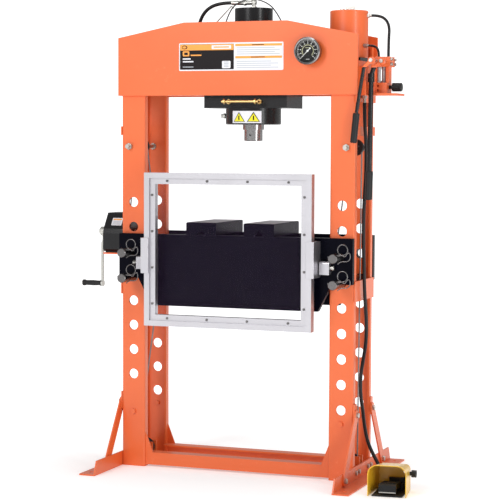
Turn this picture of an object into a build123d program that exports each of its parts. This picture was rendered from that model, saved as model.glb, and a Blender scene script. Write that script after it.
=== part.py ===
"""H-frame hydraulic shop press with a moving ram head, winch-lifted bed, sliding guard and foot pedal.

Millimetres, +X to the operator's right, +Y to the rear, +Z up. The origin is on the floor, midway
between the two columns.
"""
from build123d import *
from math import asin, atan2, cos, pi, radians, sin, tan
import os

os.makedirs("parts", exist_ok=True)

# ---- driving dimensions -------------------------------------------------------------------------
SIDES = (("left", -1), ("right", 1))

COLUMN_X = 443                      # column centre, from the middle of the press
COLUMN_HALF = 50                    # half the width of a column's web
COLUMN_INNER = COLUMN_X - COLUMN_HALF
COLUMN_OUTER = COLUMN_X + COLUMN_HALF
FRAME_FACE = 125                    # front and rear faces of the columns
CHANNEL = 8                         # thickness of the column channels
FLANGE = 30                         # depth of the column channels
COLUMN_TOP = 1700
PIN_HOLE = 20                       # radius of the pin holes
PIN_PITCH = 100
FIRST_HOLE = 279
HOLE_COUNT = 9

CROWN_PLATE = 12
CROWN_HALF = 505
CROWN_BOTTOM = 1508
CROWN_SHOULDER = 1740
CROWN_TOP = 1797
CROWN_FLAT = 218

HEAD_X = 28                         # where the ram head stands along the crown
GLAND_BOTTOM = 1393
GLAND_TOP = 1460
BARREL = 76
BORE = 60
ROD = 43
NOSE = 37
NOSE_BOTTOM = 1327
NOSE_TOP = 1373

BED_TOP = 953
BED_SHOULDER = 774
BED_BOTTOM = 665
BED_INNER = 127                     # the bed plates run this far from the middle plane
BED_OUTER = 150
BED_HALF = 495
UPPER_PIN_Z = 879
LOWER_PIN_Z = 777.3
PIN = 18
PIN_FRONT = -245
BLOCK_TOP = 1003

GUARD_HALF = 352
GUARD_BOTTOM = 590
GUARD_TOP = 1201
GUARD_RAIL = 45
GUARD_BACK = -190
GUARD_FRONT = -225
GUIDE_FRONT = -233                  # the guides wrap round the outer edges of the guard
GUIDE_Z = (800, 941)

ROPE = 3
ROPE_Y = -7
TOP_WHEEL = (460, 1304)
LOW_WHEEL = (443, 60)
TOP_WRAP = 25                       # radius of the rope's centre line on a top sheave
LOW_WRAP = 33
ANCHOR_X = 388
ANCHOR_LOW = 690
ANCHOR_HIGH = 940

DRUM_Y = 15
DRUM_Z = 950
DRUM = 19
WINCH_LEFT = -610

TANK_X = 427
TANK = 75
TANK_BOTTOM = 1652
TANK_TOP = 1838

GAUGE_X = 312
GAUGE_Z = 1676

PEDAL = Plane(origin=(696, -348, 0), x_dir=(cos(radians(5.6)), sin(radians(5.6)), 0), z_dir=(0, 0, 1))
CLEAR = 0.3                         # gap between parts that move past each other


# ---- shared shapes ------------------------------------------------------------------------------
def save(piece, name):
    """Label a finished piece and write it."""
    piece.part.label = name
    export_step(piece.part, f"parts/{name}.step")


def save_set(pieces, name):
    """Label and write like pieces that share one node, each still a solid of its own."""
    together = Compound(label=name, children=[piece.part for piece in pieces])
    export_step(together, f"parts/{name}.step")


def block(x, y, z, mode=Mode.ADD):
    """A rectangular block between three pairs of limits."""
    with Locations((sum(x) / 2, sum(y) / 2, sum(z) / 2)):
        Box(x[1] - x[0], y[1] - y[0], z[1] - z[0], mode=mode)


def rod(start, end, radius, mode=Mode.ADD):
    """A round bar between two points."""
    start, end = Vector(*start), Vector(*end)
    with Locations(Plane(origin=(start + end) / 2, z_dir=end - start)):
        Cylinder(radius, (end - start).length, mode=mode)


def hexagon(start, end, across):
    """A hexagonal bar between two points, such as a bolt's head or a nut."""
    axis = Vector(*end) - Vector(*start)
    with BuildSketch(Plane(origin=start, z_dir=axis)) as outline:
        RegularPolygon(across / 2, 6, major_radius=False)
    extrude(outline.sketch, amount=axis.length)


def plate(plane, points, thickness, mode=Mode.ADD):
    """A flat plate with a straight-sided outline."""
    with BuildSketch(plane) as outline:
        Polygon(*points, align=None)
    extrude(outline.sketch, amount=thickness, mode=mode)


def turned(centre, profile, axis):
    """A round part turned about an axis along Y or X, from (radius, distance along the axis) points."""
    if axis == "Y":
        plane = Plane(origin=centre, x_dir=(1, 0, 0), z_dir=(0, 0, 1))
        turning = Axis(centre, (0, 1, 0))
    else:
        plane = Plane(origin=centre, x_dir=(0, 0, 1), z_dir=(0, -1, 0))
        turning = Axis(centre, (1, 0, 0))
    with BuildSketch(plane) as outline:
        Polygon(*profile, align=None)
    revolve(outline.sketch, axis=turning)


def corner_radii(points):
    """The largest even bends of a hose whose route has these corners."""
    route = [Vector(*point) for point in points]
    runs = [b - a for a, b in zip(route, route[1:])]
    radii = []
    for before, after in zip(runs, runs[1:]):
        half_turn = radians(before.get_angle(after)) / 2
        radii.append(0.45 * min(before.length, after.length) / tan(half_turn))
    return radii


def hose(name, points, radius, radii=None):
    """A hose or rope along straight runs joined by tangent arcs."""
    bends = radii or corner_radii(points)
    with BuildPart() as tube:
        with BuildLine() as route:
            FilletPolyline(*points, radius=bends)
        path = route.wire()
        with BuildSketch(Plane(origin=path @ 0, z_dir=path % 0)):
            Circle(radius)
        sweep(path=path)
    length = path.length
    expected = length * pi * radius * radius
    print(name, "length", round(length), "radii", [round(bend) for bend in bends],
          "volume ratio", round(tube.part.volume / expected, 4))
    save(tube, name)


def bent_tube(points, radius, bend):
    """A round bar along straight runs with one bend radius."""
    with BuildLine() as route:
        FilletPolyline(*points, radius=bend)
    path = route.wire()
    with BuildSketch(Plane(origin=path @ 0, z_dir=path % 0)) as section:
        Circle(radius)
    sweep(section.sketch, path=path)


def socket_screw(start, end, head, head_length, shank):
    """A cap screw whose head starts at `start`, with its shank running on to `end`."""
    start, end = Vector(*start), Vector(*end)
    along = (end - start).normalized()
    seat = start + along * head_length
    rod(start, seat, head)
    rod(seat, end, shank)
    rod(start, start + along * head_length * 0.5, shank * 0.7, mode=Mode.SUBTRACT)


# ---- columns ------------------------------------------------------------------------------------
for side_name, side in SIDES:
    channels = []
    for face in (-1, 1):
        with BuildPart() as column:
            web = sorted((face * FRAME_FACE, face * (FRAME_FACE - CHANNEL)))
            lip = sorted((face * FRAME_FACE, face * (FRAME_FACE - FLANGE)))
            inner = sorted((side * COLUMN_INNER, side * (COLUMN_INNER + CHANNEL)))
            outer = sorted((side * COLUMN_OUTER, side * (COLUMN_OUTER - CHANNEL)))
            block(sorted((side * COLUMN_INNER, side * COLUMN_OUTER)), web, (0, COLUMN_TOP))
            block(inner, lip, (0, COLUMN_TOP))
            block(outer, lip, (0, COLUMN_TOP))
            bend = column.edges().filter_by(Axis.Z).group_by(Axis.Y)[0 if face < 0 else -1]
            fillet(bend, 6)
            for hole in range(HOLE_COUNT):
                if hole == 0 and side < 0 and face < 0:
                    continue
                level = FIRST_HOLE + PIN_PITCH * hole
                rod((side * COLUMN_X, face * (FRAME_FACE - 40), level),
                    (side * COLUMN_X, face * (FRAME_FACE + 5), level), PIN_HOLE, mode=Mode.SUBTRACT)
            rod((side * TOP_WHEEL[0], face * 100, TOP_WHEEL[1]),
                (side * TOP_WHEEL[0], face * 130, TOP_WHEEL[1]), 8, mode=Mode.SUBTRACT)
            rod((side * COLUMN_X, face * 100, 225), (side * COLUMN_X, face * 130, 225), 6,
                mode=Mode.SUBTRACT)
        channels.append(column)
    save_set(channels, f"{side_name}_column")

# ---- crown --------------------------------------------------------------------------------------
CROWN_OUTLINE = ((-CROWN_HALF, CROWN_BOTTOM), (CROWN_HALF, CROWN_BOTTOM), (CROWN_HALF, CROWN_SHOULDER),
                 (CROWN_FLAT, CROWN_TOP), (-CROWN_FLAT, CROWN_TOP), (-CROWN_HALF, CROWN_SHOULDER))
crown_plates = []
for face in (-1, 1):
    with BuildPart() as crown_plate:
        near = FRAME_FACE if face < 0 else -FRAME_FACE - CROWN_PLATE
        plate(Plane.XZ.offset(near), CROWN_OUTLINE, CROWN_PLATE)
        block((-380, 380), sorted((face * 100, face * FRAME_FACE)), (CROWN_BOTTOM, CROWN_BOTTOM + 20))
        if face < 0:
            rod((GAUGE_X, -140, GAUGE_Z), (GAUGE_X, -110, GAUGE_Z), 9, mode=Mode.SUBTRACT)
    crown_plates.append(crown_plate)
save_set(crown_plates, "crown_plates")

with BuildPart() as crown_spacers:
    block((-CROWN_HALF, -CROWN_HALF + 8), (-FRAME_FACE, FRAME_FACE), (CROWN_BOTTOM, CROWN_SHOULDER))
    for left in (-360, 330):
        block((left, left + 12), (-FRAME_FACE, 40), (CROWN_BOTTOM + 20, 1700))
    block((352, 502), (-94.7, 94.7), (TANK_BOTTOM - 12, TANK_BOTTOM))
save(crown_spacers, "crown_spacers")

with BuildPart() as frame_bolts:
    for side in (-1, 1):
        for x, level in ((side * 420, 1560), (side * 466, 1560), (side * 420, 1660), (side * 466, 1660)):
            hexagon((x, 137, level), (x, 145, level), 24)
        for face in (-1, 1):
            hexagon((side * COLUMN_X, face * 125, 225), (side * COLUMN_X, face * 133, 225), 19)
            rod((side * COLUMN_X, face * 125, 225), (side * COLUMN_X, face * 108, 225), 6)
            hexagon((side * COLUMN_X, face * 117, 225), (side * COLUMN_X, face * 110, 225), 19)

# ---- base: ties, gussets, feet and braces -------------------------------------------------------
base_pieces = []
for face in (-1, 1):
    with BuildPart() as tie:
        block((-COLUMN_INNER, COLUMN_INNER), sorted((face * 117, face * 111)), (8, 58))
        block((-COLUMN_INNER, COLUMN_INNER), sorted((face * 117, face * 67)), (52, 58))
    base_pieces.append(tie)

with BuildPart() as tie_gussets:
    for side in (-1, 1):
        for near in (111, -117):
            corner = ((side * COLUMN_INNER, 58), (side * (COLUMN_INNER - 32), 58), (side * COLUMN_INNER, 140))
            plate(Plane.XZ.offset(near), corner, 6)
base_pieces.append(tie_gussets)

feet = []
for side in (-1, 1):
    with BuildPart() as foot:
        upright = ((-390, 0), (390, 0), (365, 57), (-365, 57))
        plate(Plane.YZ.offset(COLUMN_OUTER if side > 0 else -COLUMN_OUTER - 6), upright, 6)
        block(sorted((side * COLUMN_OUTER, side * 560)), (-390, 390), (0, 6))
        for y in (-340, 340):
            rod((side * 530, y, -1), (side * 530, y, 8), 8, mode=Mode.SUBTRACT)
    feet.append(foot)


with BuildPart() as foot_braces:
    for side in (-1, 1):
        for face in (-1, 1):
            block(sorted((side * COLUMN_OUTER, side * (COLUMN_OUTER + 6))),
                  sorted((face * 95, face * 125)), (235, 304))
            brace_plane = Plane.YZ.offset(499 if side > 0 else -505)
            with BuildSketch(brace_plane) as bar:
                SlotCenterPoint((face * 183, 145), (face * 109, 261), 42)
            extrude(bar.sketch, amount=6)
save_set([*feet, foot_braces], "feet")

with BuildPart() as foot_bolts:
    for side in (-1, 1):
        for face in (-1, 1):
            for y, z in ((109, 261), (257, 29)):
                hexagon((side * 505, face * y, z), (side * 513, face * y, z), 19)
            for y in (61, 100):
                hexagon((side * 499, face * y, 32), (side * 506, face * y, 32), 16)


# ---- lift ropes and their sheaves ---------------------------------------------------------------
def sheave(name, wheel, side, rim, groove, bore):
    """A rope wheel that turns on an axle along Y."""
    profile = ((bore, -9), (rim, -9), (rim, -7), (groove, -ROPE - 0.4), (groove, ROPE + 0.4), (rim, 7),
               (rim, 9), (bore, 9))
    with BuildPart() as pulley:
        turned((side * wheel[0], ROPE_Y, wheel[1]), profile, "Y")
        for spoke in range(5):
            angle = radians(72 * spoke + 90)
            reach = (groove + bore) / 2
            x = side * wheel[0] + reach * cos(angle)
            z = wheel[1] + reach * sin(angle)
            rod((x, ROPE_Y - 10, z), (x, ROPE_Y + 10, z), (groove - bore) * 0.22, mode=Mode.SUBTRACT)
    save(pulley, name)


for side_name, side in SIDES:
    sheave(f"{side_name}_top_sheave", TOP_WHEEL, side, 32, TOP_WRAP - ROPE - CLEAR, 8.05)
    sheave(f"{side_name}_bottom_sheave", LOW_WHEEL, side, 38, LOW_WRAP - ROPE - CLEAR, 8.05)

with BuildPart() as upper_sheave_axles:
    for side in (-1, 1):
        x, z = side * TOP_WHEEL[0], TOP_WHEEL[1]
        rod((x, -134, z), (x, 134, z), 8)
        hexagon((x, -125, z), (x, -136, z), 24)
        rod((x, -136, z), (x, -152, z), 8)
        hexagon((x, 125, z), (x, 136, z), 24)
        hexagon((x, 117, z), (x, 106, z), 24)

with BuildPart() as lower_sheave_brackets:
    for side in (-1, 1):
        for y in (ROPE_Y - 22, ROPE_Y + 16):
            block(sorted((side * (COLUMN_INNER + 8), side * (COLUMN_OUTER - 0.5))), (y, y + 6), (0, 84))
        block(sorted((side * (COLUMN_INNER + 8), side * (COLUMN_OUTER - 0.5))), (-94.7, 94.7), (0, 6))
        x, z = side * LOW_WHEEL[0], LOW_WHEEL[1]
        for y in (ROPE_Y - 22, ROPE_Y + 16):
            rod((x, y - 1, z), (x, y + 7, z), 8, mode=Mode.SUBTRACT)
base_pieces.append(lower_sheave_brackets)

STRAP_LEVELS = ((705, 785), (1350, 1385))
with BuildPart() as column_straps:
    for side in (-1, 1):
        for level in STRAP_LEVELS:
            block(sorted((side * COLUMN_OUTER, side * (COLUMN_OUTER + 6))), (-FRAME_FACE, FRAME_FACE), level)
base_pieces.append(column_straps)
save_set(base_pieces, "base_ties")

with BuildPart() as lower_sheave_axles:
    for side in (-1, 1):
        x, z = side * LOW_WHEEL[0], LOW_WHEEL[1]
        rod((x, ROPE_Y - 28, z), (x, ROPE_Y + 28, z), 8)
        for y, turn in ((ROPE_Y - 28, -1), (ROPE_Y + 28, 1)):
            hexagon((x, ROPE_Y + turn * 22, z), (x, ROPE_Y + turn * 30, z), 22)
save_set([frame_bolts, foot_bolts, upper_sheave_axles, lower_sheave_axles], "frame_bolts")


def tangent_x(end, wheel, wrap, side, level):
    """Where a tight rope from `end`, touching a wheel on one side, crosses a level."""
    dx, dz = wheel[0] - end[0], wheel[1] - end[1]
    reach = (dx * dx + dz * dz) ** 0.5
    if dz > 0:
        angle = atan2(dz, dx) - side * asin(wrap / reach)
    else:
        angle = atan2(dz, dx) + side * asin(wrap / reach)
    return end[0] + (level - end[1]) * cos(angle) / sin(angle)


TOP_LEVEL = TOP_WHEEL[1] + TOP_WRAP
LOW_LEVEL = LOW_WHEEL[1] - LOW_WRAP
LEFT_TOP = (-TOP_WHEEL[0], TOP_WHEEL[1])
LEFT_LOW = (-LOW_WHEEL[0], LOW_WHEEL[1])
DRUM_EXIT = (-520, DRUM_Z)
LEFT_ANCHOR = (-ANCHOR_X, ANCHOR_HIGH + 1)
LEFT_LOW_ANCHOR = (-ANCHOR_X, ANCHOR_LOW - 1)
RIGHT_ANCHOR = (ANCHOR_X, ANCHOR_HIGH + 1)
left_rise = tangent_x(DRUM_EXIT, LEFT_TOP, TOP_WRAP, -1, TOP_LEVEL)
left_drop = tangent_x(LEFT_ANCHOR, LEFT_TOP, TOP_WRAP, 1, TOP_LEVEL)
left_under = tangent_x(LEFT_LOW_ANCHOR, LEFT_LOW, LOW_WRAP, -1, LOW_LEVEL)
right_drop = tangent_x(RIGHT_ANCHOR, TOP_WHEEL, TOP_WRAP, -1, TOP_LEVEL)
lean = asin((LOW_WRAP - TOP_WRAP + LOW_WHEEL[0] - TOP_WHEEL[0]) / (TOP_WHEEL[1] - LOW_WHEEL[1]))
side_line = (LOW_WHEEL[0] + LOW_WRAP) * cos(lean)
right_under = side_line - (LOW_LEVEL - LOW_WHEEL[1]) * tan(lean)
right_rise = side_line - (TOP_LEVEL - LOW_WHEEL[1]) * tan(lean)

hose("lift_rope_a", [(DRUM_EXIT[0], ROPE_Y, DRUM_EXIT[1]), (left_rise, ROPE_Y, TOP_LEVEL),
                     (left_drop, ROPE_Y, TOP_LEVEL), (LEFT_ANCHOR[0], ROPE_Y, LEFT_ANCHOR[1])],
     ROPE, [TOP_WRAP - 0.1] * 2)
hose("lift_rope_b", [(LEFT_LOW_ANCHOR[0], ROPE_Y, LEFT_LOW_ANCHOR[1]), (left_under, ROPE_Y, LOW_LEVEL),
                     (right_under, ROPE_Y, LOW_LEVEL), (right_rise, ROPE_Y, TOP_LEVEL),
                     (right_drop, ROPE_Y, TOP_LEVEL), (RIGHT_ANCHOR[0], ROPE_Y, RIGHT_ANCHOR[1])],
     ROPE, [LOW_WRAP - 0.1, LOW_WRAP - 0.1, TOP_WRAP - 0.1, TOP_WRAP - 0.1])

# ---- winch --------------------------------------------------------------------------------------
with BuildPart() as winch_shelf:
    block((WINCH_LEFT, -COLUMN_OUTER), (-60, 90), (860, 866))
    block((-COLUMN_OUTER - 6, -COLUMN_OUTER), (-FRAME_FACE, FRAME_FACE), (820, 860))
save(winch_shelf, "winch_shelf")

COVER_OUTLINE = ((88, 871), (-50, 871), (-62, 880), (-62, 945), (-56, 965), (-12, 1029), (88, 1029))
with BuildPart() as winch_cover:
    plate(Plane.YZ.offset(WINCH_LEFT), COVER_OUTLINE, 104)
    inner_outline = ((90, 873), (-49, 873), (-60, 881), (-60, 945), (-54, 964), (-11, 1027), (90, 1027))
    plate(Plane.YZ.offset(WINCH_LEFT + 2), inner_outline, 105, mode=Mode.SUBTRACT)
    rod((WINCH_LEFT - 1, DRUM_Y, DRUM_Z), (WINCH_LEFT + 3, DRUM_Y, DRUM_Z), 16, mode=Mode.SUBTRACT)
    block((WINCH_LEFT + 2, -500), (-48, 90), (870, 875), mode=Mode.SUBTRACT)
    block((-530, -500), (ROPE_Y - 9, ROPE_Y + 9), (1020, 1035), mode=Mode.SUBTRACT)
save(winch_cover, "winch_cover")

with BuildPart() as winch_frame:
    block((-606, -499), (-45, 80), (866, 871))
    for left in (-606, -505):
        block((left, left + 6), (-30, 60), (873.5, 1000))
        block((left, left + 6), (-30, 60), (866, 874))
        rod((left - 1, DRUM_Y, DRUM_Z), (left + 7, DRUM_Y, DRUM_Z), 10.05, mode=Mode.SUBTRACT)
save(winch_frame, "winch_frame")

with BuildPart() as winch_drum:
    rod((-652, DRUM_Y, DRUM_Z), (-499, DRUM_Y, DRUM_Z), 10)
    rod((-582, DRUM_Y, DRUM_Z), (-508, DRUM_Y, DRUM_Z), DRUM)
    for left in (-582, -511):
        rod((left, DRUM_Y, DRUM_Z), (left + 3, DRUM_Y, DRUM_Z), 40)
    hexagon((-660, DRUM_Y, DRUM_Z), (-652, DRUM_Y, DRUM_Z), 19)

with BuildPart() as winch_ratchet:
    rod((-596, DRUM_Y, DRUM_Z), (-584, DRUM_Y, DRUM_Z), 30)
    for tooth in range(12):
        start = radians(30 * tooth)
        end = radians(30 * tooth + 28)
        tip = [(DRUM_Y + 28 * cos(start), DRUM_Z + 28 * sin(start)),
               (DRUM_Y + 36 * cos(start), DRUM_Z + 36 * sin(start)),
               (DRUM_Y + 29 * cos(end), DRUM_Z + 29 * sin(end)),
               (DRUM_Y + 27 * cos(end), DRUM_Z + 27 * sin(end))]
        plate(Plane.YZ.offset(-596), tip, 12)
    rod((-597, DRUM_Y, DRUM_Z), (-583, DRUM_Y, DRUM_Z), 10, mode=Mode.SUBTRACT)
save_set([winch_drum, winch_ratchet], "winch_drum")

with BuildPart() as winch_pawl:
    rod((-600, -22, 988), (-584, -22, 988), 4)
    rod((-596, -22, 988), (-586, -22, 988), 8)
    pawl_outline = ((-18, 982), (-7, 983), (-2.5, 986), (-6, 991), (-18, 995))
    plate(Plane.YZ.offset(-596), pawl_outline, 10)
save(winch_pawl, "winch_pawl")

with BuildPart() as crank_arm:
    rod((-652, DRUM_Y, DRUM_Z), (-634, DRUM_Y, DRUM_Z), 19)
    arm_plane = Plane.XZ.offset(-DRUM_Y - 7)
    arm_path = ((-636, 945), (-636, 912), (-644, 896), (-644, 724), (-652, 724), (-652, 900), (-646, 916),
                (-646, 945))
    plate(arm_plane, arm_path, 14)
    with BuildSketch(Plane.YZ.offset(-652)) as eye:
        with Locations((DRUM_Y, 732)):
            Circle(13)
    extrude(eye.sketch, amount=8)
    rod((-653, DRUM_Y, DRUM_Z), (-630, DRUM_Y, DRUM_Z), 10, mode=Mode.SUBTRACT)
    rod((-652, DRUM_Y, 732), (-737, DRUM_Y, 732), 5)
    rod((-737, DRUM_Y, 732), (-741, DRUM_Y, 732), 9)
save(crank_arm, "crank_arm")

with BuildPart() as crank_grip:
    grip_profile = ((5.06, 0.4), (12, 0.4), (12, 6), (10, 10), (11.5, 40), (10.5, 70), (13, 78), (13, 84.6),
                    (5.06, 84.6))
    turned((-652, DRUM_Y, 732), grip_profile, "X")
save(crank_grip, "crank_grip")


# ---- bed ----------------------------------------------------------------------------------------
BED_OUTLINE = ((-BED_HALF, BED_TOP), (-BED_HALF, BED_SHOULDER), (-410, BED_SHOULDER), (-354, BED_BOTTOM),
               (354, BED_BOTTOM), (410, BED_SHOULDER), (BED_HALF, BED_SHOULDER), (BED_HALF, BED_TOP))
bed_plates = []
for face in (-1, 1):
    with BuildPart() as bed_plate:
        near = BED_INNER if face < 0 else -BED_OUTER
        plate(Plane.XZ.offset(near), BED_OUTLINE, BED_OUTER - BED_INNER)
        for side in (-1, 1):
            rod((side * COLUMN_X, face * 120, UPPER_PIN_Z), (side * COLUMN_X, face * 160, UPPER_PIN_Z),
                PIN + CLEAR, mode=Mode.SUBTRACT)
            rod((side * COLUMN_X, face * 120, LOWER_PIN_Z - 1.7), (side * COLUMN_X, face * 160,
                LOWER_PIN_Z - 1.7), PIN_HOLE, mode=Mode.SUBTRACT)
    bed_plates.append(bed_plate)
save_set(bed_plates, "bed_plates")

with BuildPart() as bed_spacers:
    for x in (-300, 0, 288):
        block((x, x + 12), (-BED_INNER, BED_INNER), (690, 930))
    for side in (-1, 1):
        block(sorted((side * 372, side * 378)), (-BED_INNER, BED_INNER), (790, 940))

with BuildPart() as bed_rope_anchors:
    for side in (-1, 1):
        block(sorted((side * 378, side * 392.4)), (ROPE_Y - 12, ROPE_Y + 12), (900, ANCHOR_HIGH))
        block(sorted((side * 378, side * 384)), (ROPE_Y - 12, ROPE_Y + 12), (800, 900))
    block((-392.4, -378), (ROPE_Y - 12, ROPE_Y + 12), (ANCHOR_LOW, 720))
    block((-384, -378), (ROPE_Y - 12, ROPE_Y + 12), (720, 800))
save_set([bed_spacers, bed_rope_anchors], "bed_spacers")

v_blocks = []
for left in (-201, 44):
    with BuildPart() as v_block:
        block((left, left + 128), (-150, 150), (BED_TOP, BLOCK_TOP))
        chamfer(v_block.edges().group_by(Axis.Z)[-1], 3)
        notch = ((left + 44, BED_TOP - 1), (left + 64, BED_TOP + 22), (left + 84, BED_TOP - 1))
        plate(Plane.XZ.offset(-151), notch, 302, mode=Mode.SUBTRACT)
        for y in (-120, 120):
            rod((left + 64, y, BLOCK_TOP - 20), (left + 64, y, BLOCK_TOP + 1), 6, mode=Mode.SUBTRACT)
    v_blocks.append(v_block)
save_set(v_blocks, "v_blocks")

# ---- bed pins -----------------------------------------------------------------------------------
for side_name, side in SIDES:
    for level_name, level, tail in (("upper", UPPER_PIN_Z, -BED_INNER - 1), ("lower", LOWER_PIN_Z, 172)):
        with BuildPart() as bed_pin:
            x = side * COLUMN_X
            rod((x, PIN_FRONT, level), (x, tail, level), PIN)
            chamfer(bed_pin.edges().filter_by(GeomType.CIRCLE), 2)
            rod((x - 22, -232, level + 6), (x + 36, -232, level + 14), 2.6)
            with Locations(Plane(origin=(x + 37, -232, level + 35), z_dir=(0, 1, 0))):
                Torus(20, 2)
        save(bed_pin, f"{level_name}_pin_{side_name}")

# ---- guard --------------------------------------------------------------------------------------
def rail_corners(inset, depth, which):
    """The mitred outline of one side of the guard's frame, between two distances from its outer edge."""
    left, right = -GUARD_HALF, GUARD_HALF
    low, high = GUARD_BOTTOM, GUARD_TOP
    a, b = inset, depth
    outlines = {
        "top": ((left + a, high - a), (right - a, high - a), (right - b, high - b), (left + b, high - b)),
        "bottom": ((left + a, low + a), (right - a, low + a), (right - b, low + b), (left + b, low + b)),
        "left": ((left + a, low + a), (left + a, high - a), (left + b, high - b), (left + b, low + b)),
        "right": ((right - a, low + a), (right - a, high - a), (right - b, high - b), (right - b, low + b)),
    }
    return outlines[which]


PANEL_X = GUARD_HALF - GUARD_RAIL + 8
PANEL_Z = (GUARD_BOTTOM + GUARD_RAIL - 8, GUARD_TOP - GUARD_RAIL + 8)
guard_rails = []
for which in ("top", "bottom", "left", "right"):
    with BuildPart() as rail:
        plate(Plane.XZ.offset(-GUARD_BACK), rail_corners(0, GUARD_RAIL, which), 26)
        plate(Plane.XZ.offset(-GUARD_BACK + 26), rail_corners(0, 22, which), -GUARD_FRONT + GUARD_BACK - 26)
        block((-PANEL_X, PANEL_X), (-210, -206), PANEL_Z, mode=Mode.SUBTRACT)
    guard_rails.append(rail)
save_set(guard_rails, "guard_frame")

with BuildPart() as guard_panel:
    block((-PANEL_X, PANEL_X), (-210, -206), PANEL_Z)
save(guard_panel, "guard_panel")

with BuildPart() as guard_screws:
    spread = (-255, -85, 85, 255)
    middle = (GUARD_BOTTOM + GUARD_TOP) / 2
    places = [(x, GUARD_TOP - 32) for x in spread] + [(x, GUARD_BOTTOM + 32) for x in spread]
    places += [(side * (GUARD_HALF - 32), middle + z * 0.85) for side in (-1, 1) for z in spread]
    for x, z in places:
        rod((x, -216, z), (x, -219.2, z), 5)
        block((x - 6, x + 6), (-220, -218), (z - 0.8, z + 0.8), mode=Mode.SUBTRACT)
save(guard_screws, "guard_screws")

guides = []
for side in (-1, 1):
    with BuildPart() as guard_guide:
        outer = side * (GUARD_HALF + CLEAR)
        block(sorted((side * 324, side * 364)), (-158, -BED_OUTER), GUIDE_Z)
        block(sorted((side * 342, side * 364)), (GUARD_BACK + CLEAR, -158), GUIDE_Z)
        block(sorted((outer, side * 364)), (GUIDE_FRONT, GUARD_BACK + CLEAR), GUIDE_Z)
        block(sorted((side * 331, side * 364)), (GUIDE_FRONT, GUARD_FRONT - CLEAR), GUIDE_Z)
        fillet(guard_guide.edges().filter_by(Axis.Z).group_by(Axis.Y)[0], 2)
        for z in (833, 915):
            rod((side * 332, -160, z), (side * 332, -149, z), 4, mode=Mode.SUBTRACT)
    guides.append(guard_guide)

LATCH_Z = 838
for side_name, side in SIDES:
    with BuildPart() as latch_body:
        block(sorted((side * 368, side * 408)), (-178, -BED_OUTER), (812, 864))
        rod((side * 367, -165, LATCH_Z), (side * 410, -165, LATCH_Z), 6.1, mode=Mode.SUBTRACT)
        fillet(latch_body.edges().filter_by(Axis.X).group_by(Axis.Z)[-1], 10)
    guides.append(latch_body)
    with BuildPart() as latch_plunger:
        rod((side * 366.5, -165, LATCH_Z), (side * 416, -165, LATCH_Z), 6)
        rod((side * 416, -165, LATCH_Z), (side * 426, -165, LATCH_Z), 9)
        fillet(latch_plunger.faces().sort_by(Axis.X)[0 if side < 0 else -1].edges(), 3)
    save(latch_plunger, f"latch_plunger_{side_name}")

with BuildPart() as guide_screws:
    for side in (-1, 1):
        for z in (833, 915):
            socket_screw((side * 332, -164, z), (side * 332, -150, z), 7, 6, 4)
save_set([*guides, guide_screws], "guard_guides")

# ---- ram head -----------------------------------------------------------------------------------
with BuildPart() as carriage_plate:
    block((HEAD_X - 175, HEAD_X + 175), (-95, 95), (1458, CROWN_BOTTOM - CLEAR))
    block((HEAD_X - 175, HEAD_X + 175), (-99.5, 99.5), (CROWN_BOTTOM - CLEAR, CROWN_BOTTOM + 20 + CLEAR))
    block((HEAD_X - 175, HEAD_X + 175), (-120, 120), (CROWN_BOTTOM + 20 + CLEAR, CROWN_BOTTOM + 40))
    rod((HEAD_X, 0, 1450), (HEAD_X, 0, 1560), BARREL, mode=Mode.SUBTRACT)
save(carriage_plate, "carriage_plate")

with BuildPart() as cylinder_gland:
    rod((HEAD_X, 0, GLAND_BOTTOM), (HEAD_X, 0, 1458), 111)
    fillet(cylinder_gland.edges().filter_by(GeomType.CIRCLE).sort_by(Axis.Z)[0], 4)
    rod((HEAD_X, 0, 1390), (HEAD_X, 0, GLAND_TOP), ROD + 0.06, mode=Mode.SUBTRACT)
    rod((HEAD_X, 0, 1450), (HEAD_X, 0, 1470), BARREL, mode=Mode.SUBTRACT)
save(cylinder_gland, "cylinder_gland")

with BuildPart() as cylinder_barrel:
    rod((HEAD_X, 0, 1450), (HEAD_X, 0, 1856), BARREL)
    fillet(cylinder_barrel.edges().filter_by(GeomType.CIRCLE).sort_by(Axis.Z)[-1], 2)
    rod((HEAD_X, 0, 1440), (HEAD_X, 0, 1836), BORE, mode=Mode.SUBTRACT)
    rod((HEAD_X, 0, 1830), (HEAD_X, 0, 1860), 7, mode=Mode.SUBTRACT)
save(cylinder_barrel, "cylinder_barrel")

with BuildPart() as ram:
    rod((HEAD_X, 0, NOSE_TOP), (HEAD_X, 0, 1760), ROD)
    rod((HEAD_X, 0, 1760), (HEAD_X, 0, 1800), BORE - 0.06)
    rod((HEAD_X, 0, NOSE_TOP - 1), (HEAD_X, 0, NOSE_TOP + 22), 18, mode=Mode.SUBTRACT)
with BuildPart() as ram_nose:
    rod((HEAD_X, 0, NOSE_BOTTOM), (HEAD_X, 0, NOSE_TOP), NOSE)
    chamfer(ram_nose.edges().filter_by(GeomType.CIRCLE).sort_by(Axis.Z)[0], 2)
    rod((HEAD_X, 0, NOSE_TOP), (HEAD_X, 0, NOSE_TOP + 21), 17.95)
    rod((HEAD_X, -40, 1352), (HEAD_X, -20, 1352), 5, mode=Mode.SUBTRACT)
save_set([ram, ram_nose], "ram")

with BuildPart() as cylinder_elbow:
    rod((HEAD_X, 0, 1836), (HEAD_X, 0, 1874), 7)
    hexagon((HEAD_X, 0, 1856), (HEAD_X, 0, 1864), 24)
    rod((HEAD_X + 10, 0, 1880), (HEAD_X - 32, 0, 1880), 9)
    rod((HEAD_X, 0, 1870), (HEAD_X, 0, 1891), 10)

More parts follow.
